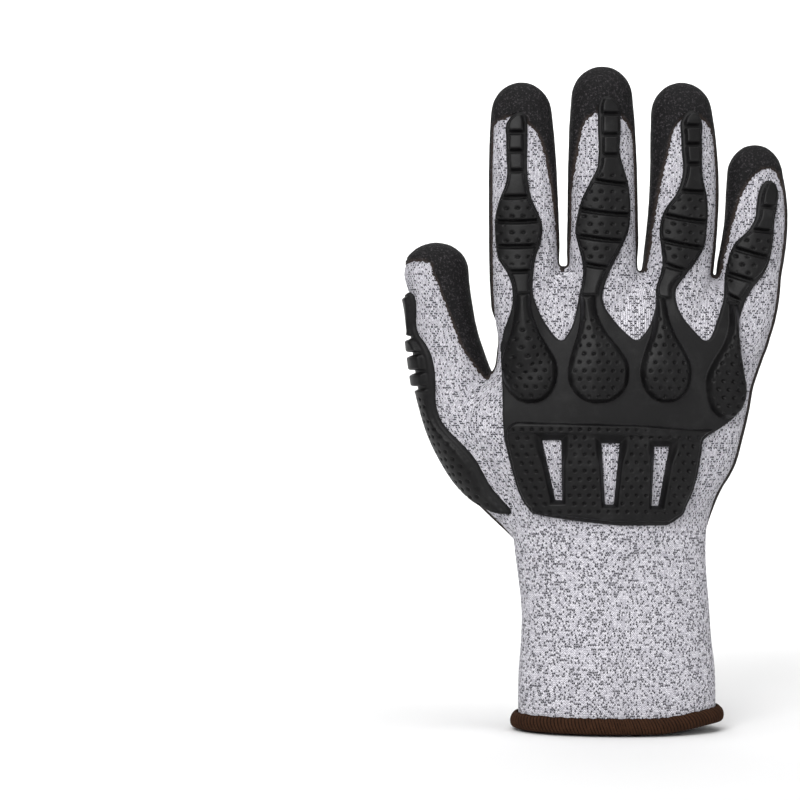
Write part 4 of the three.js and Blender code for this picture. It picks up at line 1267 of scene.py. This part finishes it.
KNIT_NODES = ["knit_cuff", "knit_heel", "knit_palm", "knit_thumb"]
KNIT_NODES += [f"knit_{name}_finger" for name in FINGERS]
rubber = guard_material()
for obj, nodes, slot, material in (
        (shell, KNIT_NODES, "knit", knit_material()),
        (coating, ["grip_coating"], "coating", coating_material()),
        (hem, ["cuff_hem"], "hem", hem_material()),
        (back_guard, ["back_guard"], "guard", rubber),
        (thumb_guard, ["thumb_guard"], "guard", rubber)):
    obj.data.materials.append(material)
    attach(obj, "root")
    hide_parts(*nodes)


# Stage, light and camera, in metres
FLOOR_AT = -0.0008
FLOOR_HALF = 3
WALL_AT = 2.2
AIM = (-0.01, 0, 0.12)


def panel(name, near, far):
    """A pale panel across the stage, between a near edge and a far one, each given as y and z."""
    sides = ((-FLOOR_HALF, near), (FLOOR_HALF, near), (FLOOR_HALF, far), (-FLOOR_HALF, far))
    obj = new_mesh(name, [(x, *edge) for x, edge in sides], [[0, 1, 2, 3]], 1)
    obj.data.materials.append(Nodes(name).finish((0.86, 0.86, 0.86), 0.9, 0.2))
    return obj


panel("floor", (-FLOOR_HALF, FLOOR_AT), (WALL_AT, FLOOR_AT))
panel("backdrop", (WALL_AT, FLOOR_AT), (WALL_AT, 3))


def area_light(name, place, target, size, power):
    data = bpy.data.lights.new(name, "AREA")
    data.shape = "RECTANGLE"
    data.size, data.size_y = size
    data.energy = power
    obj = placed(name, data)
    obj.location = place
    obj.rotation_euler = (Vector(target) - Vector(place)).to_track_quat("-Z", "Y").to_euler()


area_light("key", (-0.5, -1.25, 0.85), AIM, (0.7, 0.7), 17)
area_light("fill", (0.9, -1.0, 0.35), AIM, (0.7, 0.9), 4)
area_light("top", (0.0, -0.15, 1.2), AIM, (0.9, 0.6), 6)
area_light("backdrop_light", (0, 1.0, 1.4), (0, WALL_AT, 0.3), (2.4, 0.8), 42)

world = bpy.data.worlds.new("Studio")
world.use_nodes = True
background = world.node_tree.nodes["Background"]
background.inputs["Color"].default_value = (1, 1, 1, 1)
background.inputs["Strength"].default_value = 0.26
bpy.context.scene.world = world
bpy.context.scene.view_settings.view_transform = "Standard"

lens = bpy.data.cameras.new("Camera")
lens.sensor_width = 36
lens.lens = 116.9
lens.clip_start = 0.05
lens.clip_end = 20
camera = placed("Camera", lens)
camera.location = (-0.0837, -1.0, 0.1258)
camera.rotation_euler = (math.pi / 2, 0, 0)
bpy.context.scene.camera = camera
